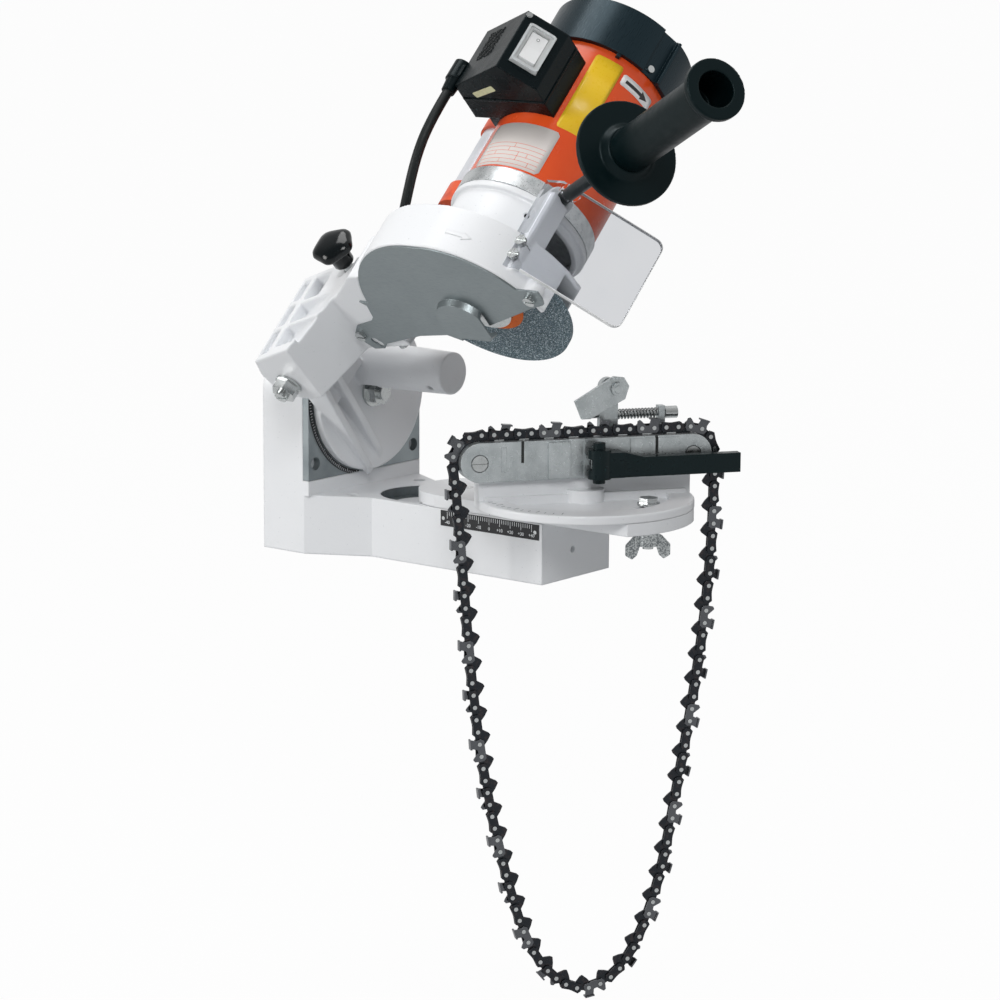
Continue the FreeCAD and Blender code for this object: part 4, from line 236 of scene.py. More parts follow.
def relief(skin, height, depth, edge=0.0):
    """Fine relief from a value, depth in metres, over edges broken to a small radius."""
    nodes, links = skin.node_tree.nodes, skin.node_tree.links
    bump = nodes.new("ShaderNodeBump")
    bump.inputs["Strength"].default_value = 1.0
    bump.inputs["Distance"].default_value = depth
    links.new(height, bump.inputs["Height"])
    if edge:
        worn = nodes.new("ShaderNodeBevel")
        worn.samples = 4
        worn.inputs["Radius"].default_value = edge
        links.new(worn.outputs["Normal"], bump.inputs["Normal"])
    links.new(bump.outputs["Normal"], nodes["Principled BSDF"].inputs["Normal"])


def enamel(name, edge, dirt=0.10):
    """White machine enamel: cool white, faintly patchy, with specks, over broken casting edges."""
    skin = finish(name, (0.83, 0.845, 0.865), 0.34, Coat_Weight=0.15, Coat_Roughness=0.2)
    patches(skin, 0.035, (0.70, 0.73, 0.77), dirt, 0.35, 0.75)
    stain(skin, spread(skin, grain(skin, 0.0016, detail=1.0), 0.74, 0.79, 0.0, 0.45), (0.42, 0.45, 0.48))
    peel = grain(skin, 0.0022, detail=2.0)
    gloss(skin, grain(skin, 0.012), 0.30, 0.40)
    relief(skin, peel, 0.00006, edge)
    return skin


def dress(node_name, skin):
    """Give a solid its finish."""
    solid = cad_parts[node_name]
    solid.data.materials.clear()
    solid.data.materials.append(skin)


cast_enamel = enamel("cast_enamel", 0.0018)
dress("base", cast_enamel)


# ---------------------------------------------------------------- column plate
# Flat steel plate, ground all over and screwed to the column, on which the tilt disc turns. The grinding
# leaves upright lines and a soft grey cloudiness.
ground_steel = finish("ground_steel", (0.30, 0.335, 0.35), 0.42, 0.85)
plate_lines = grain(ground_steel, 0.0004, (1, 1, 40))
patches(ground_steel, 0.02, (0.22, 0.25, 0.265), 1.0)
gloss(ground_steel, plate_lines, 0.34, 0.50)
relief(ground_steel, plate_lines, 0.00003, 0.0006)
dress("column_plate", ground_steel)


# ---------------------------------------------------------------- machined recess
# The slide's tongue runs in a recess milled into the deck. Its floor and wall are bare iron, marked by the
# cutter,
# and darker than the enamel: partly the iron's own colour and partly painted shade for the shade in the
# recess.
milled_iron_and_shade = finish("milled_iron_and_shade", (0.20, 0.225, 0.235), 0.45, 0.8)
cutter_marks = grain(milled_iron_and_shade, 0.0006, (1, 12, 1))
patches(milled_iron_and_shade, 0.015, (0.13, 0.15, 0.16), 0.7)
gloss(milled_iron_and_shade, cutter_marks, 0.36, 0.52)
RECESS_ENDS = (-0.017, 0.065)
RECESS_FLOOR, DECK_TOP = 0.0378, 0.0458
FLOOR_EDGE, WALL_INSIDE, WALL_OUTSIDE = 0.0280, 0.0359, 0.03599
LINING_THICK = 0.00008
LIP = 0.0006
ARC_STEPS = 24


def add_piece(name, mesh, skin, body):
    """Link a finished mesh as one piece, riding on a body."""
    piece = bpy.data.objects.new(name, mesh)
    bpy.context.scene.collection.objects.link(piece)
    if not mesh.materials:
        mesh.materials.append(skin)
    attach(piece, body)
    return piece


def mesh_from(bm, name, smooth=False):
    """Close the faces laid so far into a mesh."""
    bmesh.ops.recalc_face_normals(bm, faces=bm.faces)
    mesh = bpy.data.meshes.new(name)
    bm.to_mesh(mesh)
    bm.free()
    if smooth:
        mesh.shade_smooth()
    return mesh


def band(bm, one, two):
    """Ring of faces between two closed loops of as many points."""
    for i in range(len(one)):
        j = (i + 1) % len(one)
        bm.faces.new((one[i], one[j], two[j], two[i]))


bm = bmesh.new()
loops = []
for out, up in ((FLOOR_EDGE, RECESS_FLOOR), (FLOOR_EDGE, RECESS_FLOOR + LINING_THICK),
                (WALL_INSIDE, RECESS_FLOOR + LINING_THICK), (WALL_INSIDE, DECK_TOP - LIP),
                (WALL_OUTSIDE, DECK_TOP - LIP), (WALL_OUTSIDE, RECESS_FLOOR)):
    loop = []
    for end, start in ((RECESS_ENDS[1], -90), (RECESS_ENDS[0], 90)):
        for step in range(ARC_STEPS + 1):
            bend = math.radians(start + 180 * step / ARC_STEPS)
            loop.append(bm.verts.new((end + out * math.cos(bend), out * math.sin(bend), up)))
    loops.append(loop)
for one, two in zip(loops, loops[1:] + loops[:1]):
    band(bm, one, two)
add_piece("recess_lining", mesh_from(bm, "recess_lining"), milled_iron_and_shade, "base")


# ---------------------------------------------------------------- scales
# Two thin aluminium strips, dyed black: one bent round the tilt disc with degrees, one riveted to the
# beam with millimetres. Their lines and numbers are the bare metal showing through the dye.
black_dye = finish("black_dye", (0.012, 0.013, 0.015), 0.38, 0.2)
relief(black_dye, grain(black_dye, 0.0005), 0.00001, 0.0002)
dress("scale_plates", black_dye)
bare_line = finish("bare_line", (0.78, 0.80, 0.82), 0.4, 0.3)
gloss(bare_line, grain(bare_line, 0.0006), 0.35, 0.5)
LINE_THICK = 0.00012


def plate_into(bm, corners, normal, thick):
    """Thin flat plate with these corners, standing proud along its normal."""
    low = [bm.verts.new(corner) for corner in corners]
    high = [bm.verts.new(Vector(corner) + Vector(normal) * thick) for corner in corners]
    bm.faces.new(low[::-1])
    bm.faces.new(high)
    band(bm, low, high)


def lettering(name, words, place, along, up, tall):
    """Flat numbers or signs, standing proud of a face by their thickness."""
    text_data = bpy.data.curves.new(name, "FONT")
    text_data.body = words
    text_data.size = tall
    text_data.align_x = "CENTER"
    text_data.align_y = "CENTER"
    text_data.extrude = LINE_THICK / 2
    text_data.resolution_u = 3
    text_object = bpy.data.objects.new(name + "_line", text_data)
    bpy.context.scene.collection.objects.link(text_object)
    along, up = Vector(along).normalized(), Vector(up).normalized()
    out = along.cross(up)
    placed = Matrix((along, up, out)).transposed().to_4x4()
    placed.translation = Vector(place) + out * LINE_THICK / 2
    bpy.context.view_layer.update()
    flat = bpy.data.meshes.new_from_object(text_object.evaluated_get(bpy.context.evaluated_depsgraph_get()))
    bpy.data.objects.remove(text_object)
    flat.transform(placed)
    flat.materials.clear()
    return flat


def joined(name, meshes):
    """Several meshes as one."""
    bm = bmesh.new()
    for mesh in meshes:
        bm.from_mesh(mesh)
    return mesh_from(bm, name)


SCALE_FACE = -0.0418
SCALE_ZERO = 0.077
TICK_STEP, TICK_TOP, TICK_HALF = 0.002, 0.0442, 0.00017
TICK_LONG, TICK_SHORT = 0.0052, 0.0030
NUMBER_STEP, NUMBER_MIDDLE, NUMBER_TALL = 0.010, 0.0361, 0.0036
bm = bmesh.new()
for count in range(-20, 21):
    tick_x = SCALE_ZERO + count * TICK_STEP
    tick_foot = TICK_TOP - (TICK_LONG if count % 5 == 0 else TICK_SHORT)
    plate_into(bm, [(tick_x - TICK_HALF, SCALE_FACE, tick_foot), (tick_x + TICK_HALF, SCALE_FACE, tick_foot),
                    (tick_x + TICK_HALF, SCALE_FACE, TICK_TOP), (tick_x - TICK_HALF, SCALE_FACE, TICK_TOP)],
               (0, -1, 0), LINE_THICK)
scale_marks = [mesh_from(bm, "ticks")]
for count in range(-4, 5):
    word = "0" if count == 0 else "%+d" % (count * 10)
    number_place = (SCALE_ZERO + count * NUMBER_STEP, SCALE_FACE, NUMBER_MIDDLE)
    scale_marks.append(lettering("number", word, number_place, (1, 0, 0), (0, 0, 1), NUMBER_TALL))
add_piece("slide_scale_marks", joined("slide_scale_marks", scale_marks), bare_line, "base")

RING_MIDDLE = Vector((-0.0794, 0, 0.120))
RING_OUTSIDE, RING_LONG, RING_SHORT = 0.0655, 0.0627, 0.0636
DEGREE_HALF = 0.00018
bm = bmesh.new()
for degree in range(98, 264, 2):
    turn = math.radians(degree)
    away = Vector((0, math.cos(turn), math.sin(turn)))
    side = Vector((0, -math.sin(turn), math.cos(turn))) * DEGREE_HALF
    inside = RING_LONG if degree % 10 == 0 else RING_SHORT
    plate_into(bm, [RING_MIDDLE + away * inside - side, RING_MIDDLE + away * RING_OUTSIDE - side,
                    RING_MIDDLE + away * RING_OUTSIDE + side, RING_MIDDLE + away * inside + side],
               (1, 0, 0), LINE_THICK)
add_piece("tilt_scale_marks", mesh_from(bm, "tilt_scale_marks"), bare_line, "base")


# ---------------------------------------------------------------- bolts, nuts, rivets and screws
# Turned and cold-headed steel, zinc plated bright. The plating is slightly yellow-grey and softly clouded
# from handling, and it is kept smooth.
bright_zinc = finish("bright_zinc", (0.56, 0.58, 0.58), 0.26, 1.0)
zinc_cloud = grain(bright_zinc, 0.006, detail=1.0)
stain(bright_zinc, spread(bright_zinc, zinc_cloud, 0.4, 0.7, 0.0, 0.35), (0.42, 0.44, 0.44))
gloss(bright_zinc, grain(bright_zinc, 0.003, detail=1.0), 0.20, 0.28)
for fastener in ("scale_rivets", "tilt_bolt", "nuts_and_washers", "hinge_bolt", "head_screws", "table_bolts",
                 "rail_screws", "stop_screw", "spindle_nut", "wheel_flanges", "motor_shaft", "bearings",
                 "clamp_rod", "depth_screw"):
    dress(fastener, bright_zinc)


# ---------------------------------------------------------------- tilt bracket and swing arm
# Two castings in the same white enamel: the disc with its two ribs, hinge lugs and stop bar, and the ribbed
# arm that swings on it. Between them are bronze bushes and a wound return spring.
def softened(node_name, skin, body, voxel, rubs):
    """Copy of a moulding whose corners are rounded, as sand, draft and paint leave them."""
    soft = bpy.data.objects.new(node_name + "_soft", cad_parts[node_name].data.copy())
    bpy.context.scene.collection.objects.link(soft)
    shell = soft.modifiers.new("shell", "REMESH")
    shell.mode = "VOXEL"
    shell.voxel_size = voxel
    rub = soft.modifiers.new("rub", "SMOOTH")
    rub.factor = 0.5
    rub.iterations = rubs
    bpy.context.view_layer.update()
    rounded = bpy.data.meshes.new_from_object(soft.evaluated_get(bpy.context.evaluated_depsgraph_get()))
    bpy.data.objects.remove(soft)
    rounded.materials.clear()
    rounded.shade_smooth()
    piece = add_piece(node_name + "_soft", rounded, skin, body)
    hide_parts(node_name)


softened("tilt_bracket", cast_enamel, "tilt_bracket", voxel=0.0008, rubs=3)
softened("swing_arm", cast_enamel, "head", voxel=0.0009, rubs=4)
bronze = finish("turned_bronze", (0.55, 0.36, 0.16), 0.35, 1.0)
gloss(bronze, grain(bronze, 0.001), 0.28, 0.42)
relief(bronze, grain(bronze, 0.0003, (4, 1, 1)), 0.00002, 0.0002)
dress("hinge_bushes", bronze)
drawn_wire = finish("drawn_wire", (0.34, 0.355, 0.36), 0.32, 1.0)
gloss(drawn_wire, grain(drawn_wire, 0.0008), 0.26, 0.42)
relief(drawn_wire, grain(drawn_wire, 0.0002, (1, 6, 1)), 0.00001)
for spring in ("return_spring", "stop_spring"):
    dress(spring, drawn_wire)


# ---------------------------------------------------------------- depth stop knob
# Moulded thermoset knob, polished black, with a domed head, five soft lobes for the fingers and a plain
# hub. It is pressed on the depth screw and sets how deep the wheel comes down.
knob_black = finish("knob_black", (0.003, 0.005, 0.006), 0.10, 0.0, Specular_IOR_Level=0.35)
gloss(knob_black, grain(knob_black, 0.006), 0.08, 0.16)
relief(knob_black, grain(knob_black, 0.003), 0.00003, 0.0012)
LEAN = math.sqrt(0.5)
head_frame = Matrix(((1, 0, 0, 0), (0, LEAN, LEAN, 0), (0, -LEAN, LEAN, 0.120), (0, 0, 0, 1)))
KNOB_AXIS = (-0.0175, 0.0120)
# Radius and place along the screw, from the crown of the dome to the foot of the hub.
KNOB_PROFILE = [(0.0001, -0.1709), (0.0050, -0.1708), (0.0095, -0.1703), (0.0130, -0.1690), (0.0152, -0.1670),
                (0.0160, -0.1648), (0.0154, -0.1628), (0.0132, -0.1615), (0.0105, -0.1612), (0.0088, -0.1606),
                (0.0084, -0.1590), (0.0082, -0.1550), (0.0080, -0.1480), (0.0076, -0.1472), (0.0034, -0.1471)]
KNOB_STEPS = 80
LOBES, LOBE_TALL, LOBE_FROM, LOBE_OVER = 5, 0.0009, 0.009, 0.007
bm = bmesh.new()
rings = []
for out, along in KNOB_PROFILE:
    ring = []
    for step in range(KNOB_STEPS):
        turn = 2 * math.pi * step / KNOB_STEPS
        reach = out + LOBE_TALL * max(0.0, (out - LOBE_FROM) / LOBE_OVER) * math.cos(LOBES * turn)
        ring.append(bm.verts.new(head_frame @ Vector((KNOB_AXIS[0] + reach * math.cos(turn), along,
                                                      KNOB_AXIS[1] + reach * math.sin(turn)))))
    rings.append(ring)
for one, two in zip(rings, rings[1:]):
    band(bm, one, two)
bm.faces.new(rings[0])
bm.faces.new(rings[-1][::-1])
knob = add_piece("lobed_knob", mesh_from(bm, "lobed_knob", True), knob_black, "depth_knob")
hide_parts("depth_knob")


# ---------------------------------------------------------------- wheel guard
# Cast guard over the wheel's upper half with the motor's neck on top, in white enamel, with a raised arrow
# for the wheel's turn. A thin steel cover closes its front, dull rolled, with a pressed bulge at the hub.
guard_enamel = enamel("guard_enamel", 0.0012, 0.06)
softened("wheel_guard", guard_enamel, "head", voxel=0.0008, rubs=4)
rolled_steel = finish("rolled_steel", (0.27, 0.305, 0.315), 0.38, 0.9)
rolling = grain(rolled_steel, 0.0005, (30, 1, 1), (math.radians(-45), 0, math.radians(8)))
patches(rolled_steel, 0.03, (0.25, 0.285, 0.295), 0.8, 0.35, 0.7)
stain(rolled_steel, spread(rolled_steel, rolling, 0.55, 0.75, 0.0, 0.35), (0.20, 0.22, 0.23))
gloss(rolled_steel, rolling, 0.28, 0.46)
relief(rolled_steel, rolling, 0.00002, 0.0005)
dress("guard_cover", rolled_steel)


SPINDLE = (0.1153, -0.141)
motor_frame = head_frame @ Matrix.Translation((*SPINDLE, 0))


def bent_strip(bm, out, lift, slices):
    """Sheet bent round the spindle's line, from slices of turn (degrees), low edge and high edge."""
    rows = []
    for turn, low, high in slices:
        bend = math.radians(turn)
        rows.append([bm.verts.new(motor_frame @ Vector((away * math.cos(bend), away * math.sin(bend), tall)))
                     for tall in (low, high) for away in (out, out + lift)])
    for a, b in zip(rows, rows[1:]):
        for i, j in ((1, 3), (2, 0), (0, 1), (3, 2)):
            bm.faces.new((a[i], b[i], b[j], a[j]))
    for end in (rows[0], rows[-1]):
        bm.faces.new((end[0], end[1], end[3], end[2]))


ARROW_STEPS = 8
ARROW_POINT = 0.00004


def arrow_slices(turn_from, turn_neck, turn_tip, middle, shaft_half, barb_half):
    """A plain arrow round the barrel, as slices for its shaft and then for its head."""
    shaft, barbs = [], []
    for i in range(ARROW_STEPS + 1):
        turn = turn_from + (turn_neck - turn_from) * i / ARROW_STEPS
        shaft.append((turn, middle - shaft_half, middle + shaft_half))
        half = barb_half * (1 - i / ARROW_STEPS) + ARROW_POINT
        barbs.append((turn_neck + (turn_tip - turn_neck) * i / ARROW_STEPS, middle - half, middle + half))
    return shaft, barbs


GUARD_ROUND = 0.0799
ARROW_RAISED = 0.0005
bm = bmesh.new()
for slices in arrow_slices(turn_from=-78.5, turn_neck=-69.0, turn_tip=-64.0, middle=-0.0058,
                           shaft_half=0.0015, barb_half=0.0034):
    bent_strip(bm, GUARD_ROUND, ARROW_RAISED, slices)
add_piece("guard_arrow", mesh_from(bm, "guard_arrow"), guard_enamel, "head")


# ---------------------------------------------------------------- grinding wheel
# Vitrified disc of dark grey grit, 143 mm across. Broken grains catch the light, and orange paper blotters
# sit under the flanges.
grit = finish("grey_grit", (0.075, 0.125, 0.15), 0.62)
grains_of_grit = grain(grit, 0.00075, kind="ShaderNodeTexVoronoi")
speck = grain(grit, 0.0008, detail=2.0)
stain(grit, spread(grit, speck, 0.48, 0.62), (0.19, 0.27, 0.31))
stain(grit, spread(grit, grain(grit, 0.0010, detail=0.0), 0.62, 0.68), (0.60, 0.70, 0.76))
stain(grit, spread(grit, speck, 0.42, 0.30), (0.02, 0.03, 0.035))
gloss(grit, speck, 0.75, 0.35)
relief(grit, grains_of_grit, 0.00035, 0.0006)
dress("grinding_wheel", grit)
blotter_paper = finish("blotter_paper", (0.86, 0.17, 0.02), 0.75)
patches(blotter_paper, 0.002, (0.62, 0.10, 0.02), 0.5)
relief(blotter_paper, grain(blotter_paper, 0.0003), 0.00005)
dress("wheel_blotters", blotter_paper)


# ---------------------------------------------------------------- motor
# Steel barrel in orange gloss paint between a machined alloy ring and a cast end bell. Winding, rotor and fan
# are inside. Its foil plates are stuck on: a silver name plate left blank, a yellow one and an arrow.
orange_gloss = finish("orange_gloss", (0.80, 0.095, 0.018), 0.22, 0.0, Specular_IOR_Level=0.4)
patches(orange_gloss, 0.04, (0.72, 0.065, 0.014), 0.6, 0.35, 0.7)
gloss(orange_gloss, grain(orange_gloss, 0.01), 0.18, 0.28)
relief(orange_gloss, grain(orange_gloss, 0.004), 0.00005, 0.0008)
dress("motor_housing", orange_gloss)
clamp_orange = finish("clamp_orange", (0.72, 0.10, 0.03), 0.4)
patches(clamp_orange, 0.006, (0.5, 0.06, 0.03), 0.7, 0.45, 0.62)
relief(clamp_orange, grain(clamp_orange, 0.002), 0.00015, 0.0006)
dress("capacitor_clamp", clamp_orange)
alloy = finish("machined_alloy", (0.66, 0.68, 0.69), 0.30, 0.9)
patches(alloy, 0.006, (0.42, 0.45, 0.46), 0.7, 0.42, 0.68)
gloss(alloy, grain(alloy, 0.0009), 0.24, 0.42)
relief(alloy, grain(alloy, 0.0006), 0.00004, 0.0008)
for turned in ("motor_flange", "rear_end_bell", "rotor"):
    dress(turned, alloy)
winding = finish("varnished_winding", (0.38, 0.17, 0.07), 0.35)
stain(winding, spread(winding, grain(winding, 0.0009, (1, 1, 8)), 0.45, 0.6), (0.22, 0.09, 0.04))
relief(winding, grain(winding, 0.0009, (1, 1, 8)), 0.0003)
dress("stator", winding)
can_alloy = finish("can_alloy", (0.78, 0.80, 0.84), 0.36, 0.6)
patches(can_alloy, 0.02, (0.68, 0.71, 0.77), 0.5)
gloss(can_alloy, grain(can_alloy, 0.002), 0.30, 0.44)
relief(can_alloy, grain(can_alloy, 0.0004, (1, 1, 5)), 0.00001, 0.0008)
dress("capacitor", can_alloy)

MOTOR_ROUND = 0.0520
FOIL_THICK = 0.00022
FOIL_STEPS = 24


def foil(name, skin, turns, heights, corner):
    """Foil with rounded corners, bent round the barrel between two turns (degrees) and two heights."""
    low, high = heights
    span = math.radians(turns[1] - turns[0]) * MOTOR_ROUND
    bm = bmesh.new()
    rows = []
    for i in range(FOIL_STEPS + 1):
        across = span * i / FOIL_STEPS
        reach = min(across, span - across)
        inset = 0.0
        if reach < corner:
            inset = corner - math.sqrt(max(corner ** 2 - (corner - reach) ** 2, 0))
        turn = math.radians(turns[0]) + across / MOTOR_ROUND
        rows.append([bm.verts.new(motor_frame @ Vector((away * math.cos(turn), away * math.sin(turn), tall)))
                     for tall in (low + inset, high - inset)
                     for away in (MOTOR_ROUND, MOTOR_ROUND + FOIL_THICK)])
    for a, b in zip(rows, rows[1:]):
        for i, j in ((1, 3), (2, 0), (0, 1), (3, 2)):
            bm.faces.new((a[i], b[i], b[j], a[j]))
    for end in (rows[0], rows[-1]):
        bm.faces.new((end[0], end[1], end[3], end[2]))
    return add_piece(name, mesh_from(bm, name, True), skin, "head")


silver_foil = finish("silver_foil", (0.80, 0.75, 0.72), 0.5, 0.0, Specular_IOR_Level=0.3)
patches(silver_foil, 0.02, (0.72, 0.68, 0.66), 0.5, 0.35, 0.7)
gloss(silver_foil, grain(silver_foil, 0.0015, (1, 1, 6)), 0.45, 0.55)
relief(silver_foil, grain(silver_foil, 0.0015), 0.00002)
foil("name_plate", silver_foil, turns=(-118, -54.6), heights=(0.0775, 0.1170), corner=0.0025)
print_orange = finish("print_orange", (0.76, 0.12, 0.03), 0.5)
gloss(print_orange, grain(print_orange, 0.001), 0.40, 0.52)
LINE_LIFT = 0.00026
TABLE_FOOT, ROW_TALL, LINE_HALF = 0.0800, 0.0037, 0.00016
UPRIGHT_HALF = 0.18
bm = bmesh.new()
for row in range(6):
    tall = TABLE_FOOT + row * ROW_TALL
    bent_strip(bm, MOTOR_ROUND, LINE_LIFT,
               [(turn, tall - LINE_HALF, tall + LINE_HALF) for turn in range(-114, -57, 4)])
# Upright lines of the empty table: turn, the row where it starts, and the rows it crosses.
UPRIGHTS = ((-92, 0, 1), (-78, 1, 2), (-100, 2, 1), (-70, 2, 1), (-88, 3, 1), (-66, 0, 1), (-84, 4, 1))
for turn, row, rows in UPRIGHTS:
    low = TABLE_FOOT + row * ROW_TALL
    high = low + rows * ROW_TALL
    bent_strip(bm, MOTOR_ROUND, LINE_LIFT,
               [(turn - UPRIGHT_HALF, low, high), (turn + UPRIGHT_HALF, low, high)])
add_piece("name_plate_lines", mesh_from(bm, "name_plate_lines"), print_orange, "head")
yellow_foil = finish("yellow_foil", (0.88, 0.58, 0.03), 0.35, Specular_IOR_Level=0.3)
patches(yellow_foil, 0.02, (0.86, 0.50, 0.02), 0.5, 0.35, 0.7)
gloss(yellow_foil, grain(yellow_foil, 0.003), 0.24, 0.38)
relief(yellow_foil, grain(yellow_foil, 0.0015), 0.00002)
foil("yellow_plate", yellow_foil, turns=(-62.2, -37.5), heights=(0.1215, 0.1905),
     corner=0.0022)
white_foil = finish("white_foil", (0.84, 0.84, 0.84), 0.32)
gloss(white_foil, grain(white_foil, 0.003), 0.26, 0.40)
relief(white_foil, grain(white_foil, 0.0015), 0.00002)
foil("arrow_plate", white_foil, turns=(-35, -1), heights=(0.1775, 0.1870), corner=0.0012)
print_black = finish("print_black", (0.010, 0.010, 0.011), 0.4)
gloss(print_black, grain(print_black, 0.001), 0.35, 0.5)
bm = bmesh.new()
for slices in arrow_slices(turn_from=-31, turn_neck=-14, turn_tip=-6, middle=0.18225,
                           shaft_half=0.0014, barb_half=0.0034):
    bent_strip(bm, MOTOR_ROUND, LINE_LIFT, slices)
add_piece("turn_arrow", mesh_from(bm, "turn_arrow"), print_black, "head")


# ---------------------------------------------------------------- fan cowl
# Turned-over cup of black moulded plastic on top of the motor, with the air holes in its end. Under it the
# plastic fan turns on the shaft. The moulding shows faint upright draw lines.
cowl_black = finish("cowl_black", (0.004, 0.011, 0.015), 0.34, 0.0, Specular_IOR_Level=0.35,
                    Specular_Tint=(0.60, 0.85, 1.0, 1))
cowl_lines = grain(cowl_black, 0.0005, (1, 1, 14), (math.radians(-45), 0, 0))
gloss(cowl_black, cowl_lines, 0.24, 0.38)
relief(cowl_black, grain(cowl_black, 0.0009), 0.00003, 0.0010)
dress("fan_cowl", cowl_black)
dress("cooling_fan", cowl_black)


# ---------------------------------------------------------------- switch box
# Moulded box in two pieces, glossy black, saddled on the barrel. A clear drip cover in a pale rim keeps
# water off the white rocker. A bead marks the lid's seam, and the sides have a bare label and fine bosses.
box_black = finish("box_black", (0.002, 0.005, 0.006), 0.26, 0.0, Specular_IOR_Level=0.17,
                   Specular_Tint=(0.80, 0.95, 1.0, 1))
gloss(box_black, grain(box_black, 0.012), 0.22, 0.32)
relief(box_black, grain(box_black, 0.005), 0.00005, 0.0016)
for moulding in ("switch_box", "switch_lid", "cable_gland"):
    dress(moulding, box_black)
clear_cover = finish("clear_cover", (0.93, 0.95, 0.95), 0.06, 0.0, Transmission_Weight=0.45, IOR=1.3)
relief(clear_cover, grain(clear_cover, 0.004), 0.00006, 0.0008)
dress("switch_module", clear_cover)
white_moulding = finish("white_moulding", (0.90, 0.91, 0.91), 0.22, 0.0)
gloss(white_moulding, grain(white_moulding, 0.004), 0.16, 0.28)
relief(white_moulding, grain(white_moulding, 0.003), 0.00002, 0.0005)
dress("switch_rocker", white_moulding)
CORNER_STEPS = 4


def rounded_plate(bm, face, half_wide, half_tall, corner, thick, wall=0.0):
    """Plate with round corners on a face whose outside is -y, or with a wall given, only its rim."""
    outer, inner = [], []
    for turn, sx, sz in ((0, 1, 1), (90, -1, 1), (180, -1, -1), (270, 1, -1)):
        for step in range(CORNER_STEPS + 1):
            bend = math.radians(turn + step * 90 / CORNER_STEPS)
            for ring, radius in ((outer, corner), (inner, corner - wall)):
                ring.append((sx * (half_wide - corner) + radius * math.cos(bend),
                             sz * (half_tall - corner) + radius * math.sin(bend)))
    def lay(ring, out):
        return [bm.verts.new(face @ Vector((x, -out, z))) for x, z in ring]

    low, high = lay(outer, 0.0), lay(outer, thick)
    band(bm, low, high)
    if not wall:
        bm.faces.new(low)
        bm.faces.new(high[::-1])
        return
    high_in, low_in = lay(inner, thick), lay(inner, 0.0)
    band(bm, high, high_in)
    band(bm, high_in, low_in)
    band(bm, low_in, low)


def on_head(place, turn):
    """Frame of a face on the head: a place on it, and its turn about the spindle's direction (degrees)."""
    return head_frame @ Matrix.Translation(place) @ Matrix.Rotation(math.radians(turn), 4, "Z")


def on_face(face, place):
    """The same frame moved along itself."""
    return face @ Matrix.Translation(place)


def add_plate(name, skin, face, half_wide, half_tall, corner, thick, wall=0.0):
    """One rounded plate as a piece of the head."""
    bm = bmesh.new()
    rounded_plate(bm, face, half_wide, half_tall, corner, thick, wall)
    add_piece(name, mesh_from(bm, name), skin, "head")


switch_frame = on_head((0.12425, -0.230, 0.1535), 45.6)
pale_clear = finish("pale_clear", (0.80, 0.83, 0.84), 0.10, 0.0, Transmission_Weight=0.35, IOR=1.3)
gloss(pale_clear, grain(pale_clear, 0.003), 0.06, 0.16)
add_plate("switch_rim", pale_clear, on_face(switch_frame, (0, -0.003, 0)),
          half_wide=0.0109, half_tall=0.0169, corner=0.0024, thick=0.0016, wall=0.0018)
slope_along, slope_up = (switch_frame.to_3x3() @ Vector(way) for way in ((1, 0, 0), (0, 0, 1)))
off_place = switch_frame @ Vector((0, -0.00475, 0.0065))
off_mark = lettering("off_mark", "O", off_place, slope_along, slope_up, tall=0.0034)
add_piece("off_mark", off_mark, print_black, "rocker")
NECK_SCREW_TURN = 44.3
neck_face = motor_frame @ Matrix.Rotation(math.radians(NECK_SCREW_TURN), 4, "Z")
add_plate("neck_set_screw", box_black, on_face(neck_face, (0, -0.0484, 0.0465)),
          half_wide=0.00215, half_tall=0.00215, corner=0.0021, thick=0.0003)
add_plate("lid_seam", box_black, on_head((0.09875, -0.2032, 0.1535), 0),
          half_wide=0.0380, half_tall=0.0273, corner=0.0022, thick=0.0017, wall=0.0011)
pale_foil = finish("pale_foil", (0.66, 0.68, 0.42), 0.45)
patches(pale_foil, 0.003, (0.56, 0.58, 0.36), 0.6, 0.45, 0.65)
label_face = on_head((0.0855, -0.2128, 0.127), -22) @ Matrix.Rotation(math.radians(90), 4, "X")
add_plate("box_label", pale_foil, label_face,
          half_wide=0.0120, half_tall=0.0026, corner=0.0010, thick=0.00018)
slope_frame = on_head((0.081, -0.22718, 0.160), -25.2)
GRAIN_STEP = 0.0016
BOSS_HALF, BOSS_CORNER, BOSS_TALL = 0.00045, 0.0003, 0.00035
bm = bmesh.new()
for column in range(13):
    for row in range(17):
        if (column * 7 + row * 5) % 6:
            spot = ((column - 6 + row % 2 / 2) * GRAIN_STEP, -0.0001, (row - 8) * GRAIN_STEP)
            rounded_plate(bm, on_face(slope_frame, spot), BOSS_HALF, BOSS_HALF, BOSS_CORNER, BOSS_TALL)
add_piece("box_grain", mesh_from(bm, "box_grain"), box_black, "head")
screw_face = on_face(switch_frame, (-0.0145, 0, 0.0235))
bm = bmesh.new()
rounded_plate(bm, screw_face, half_wide=0.0024, half_tall=0.0024, corner=0.0023, thick=0.0012)
rounded_plate(bm, on_face(screw_face, (0, -0.0012, 0)), half_wide=0.0018, half_tall=0.0018, corner=0.0017,
              thick=0.0006)
add_piece("lid_screw", mesh_from(bm, "lid_screw"), bright_zinc, "head")


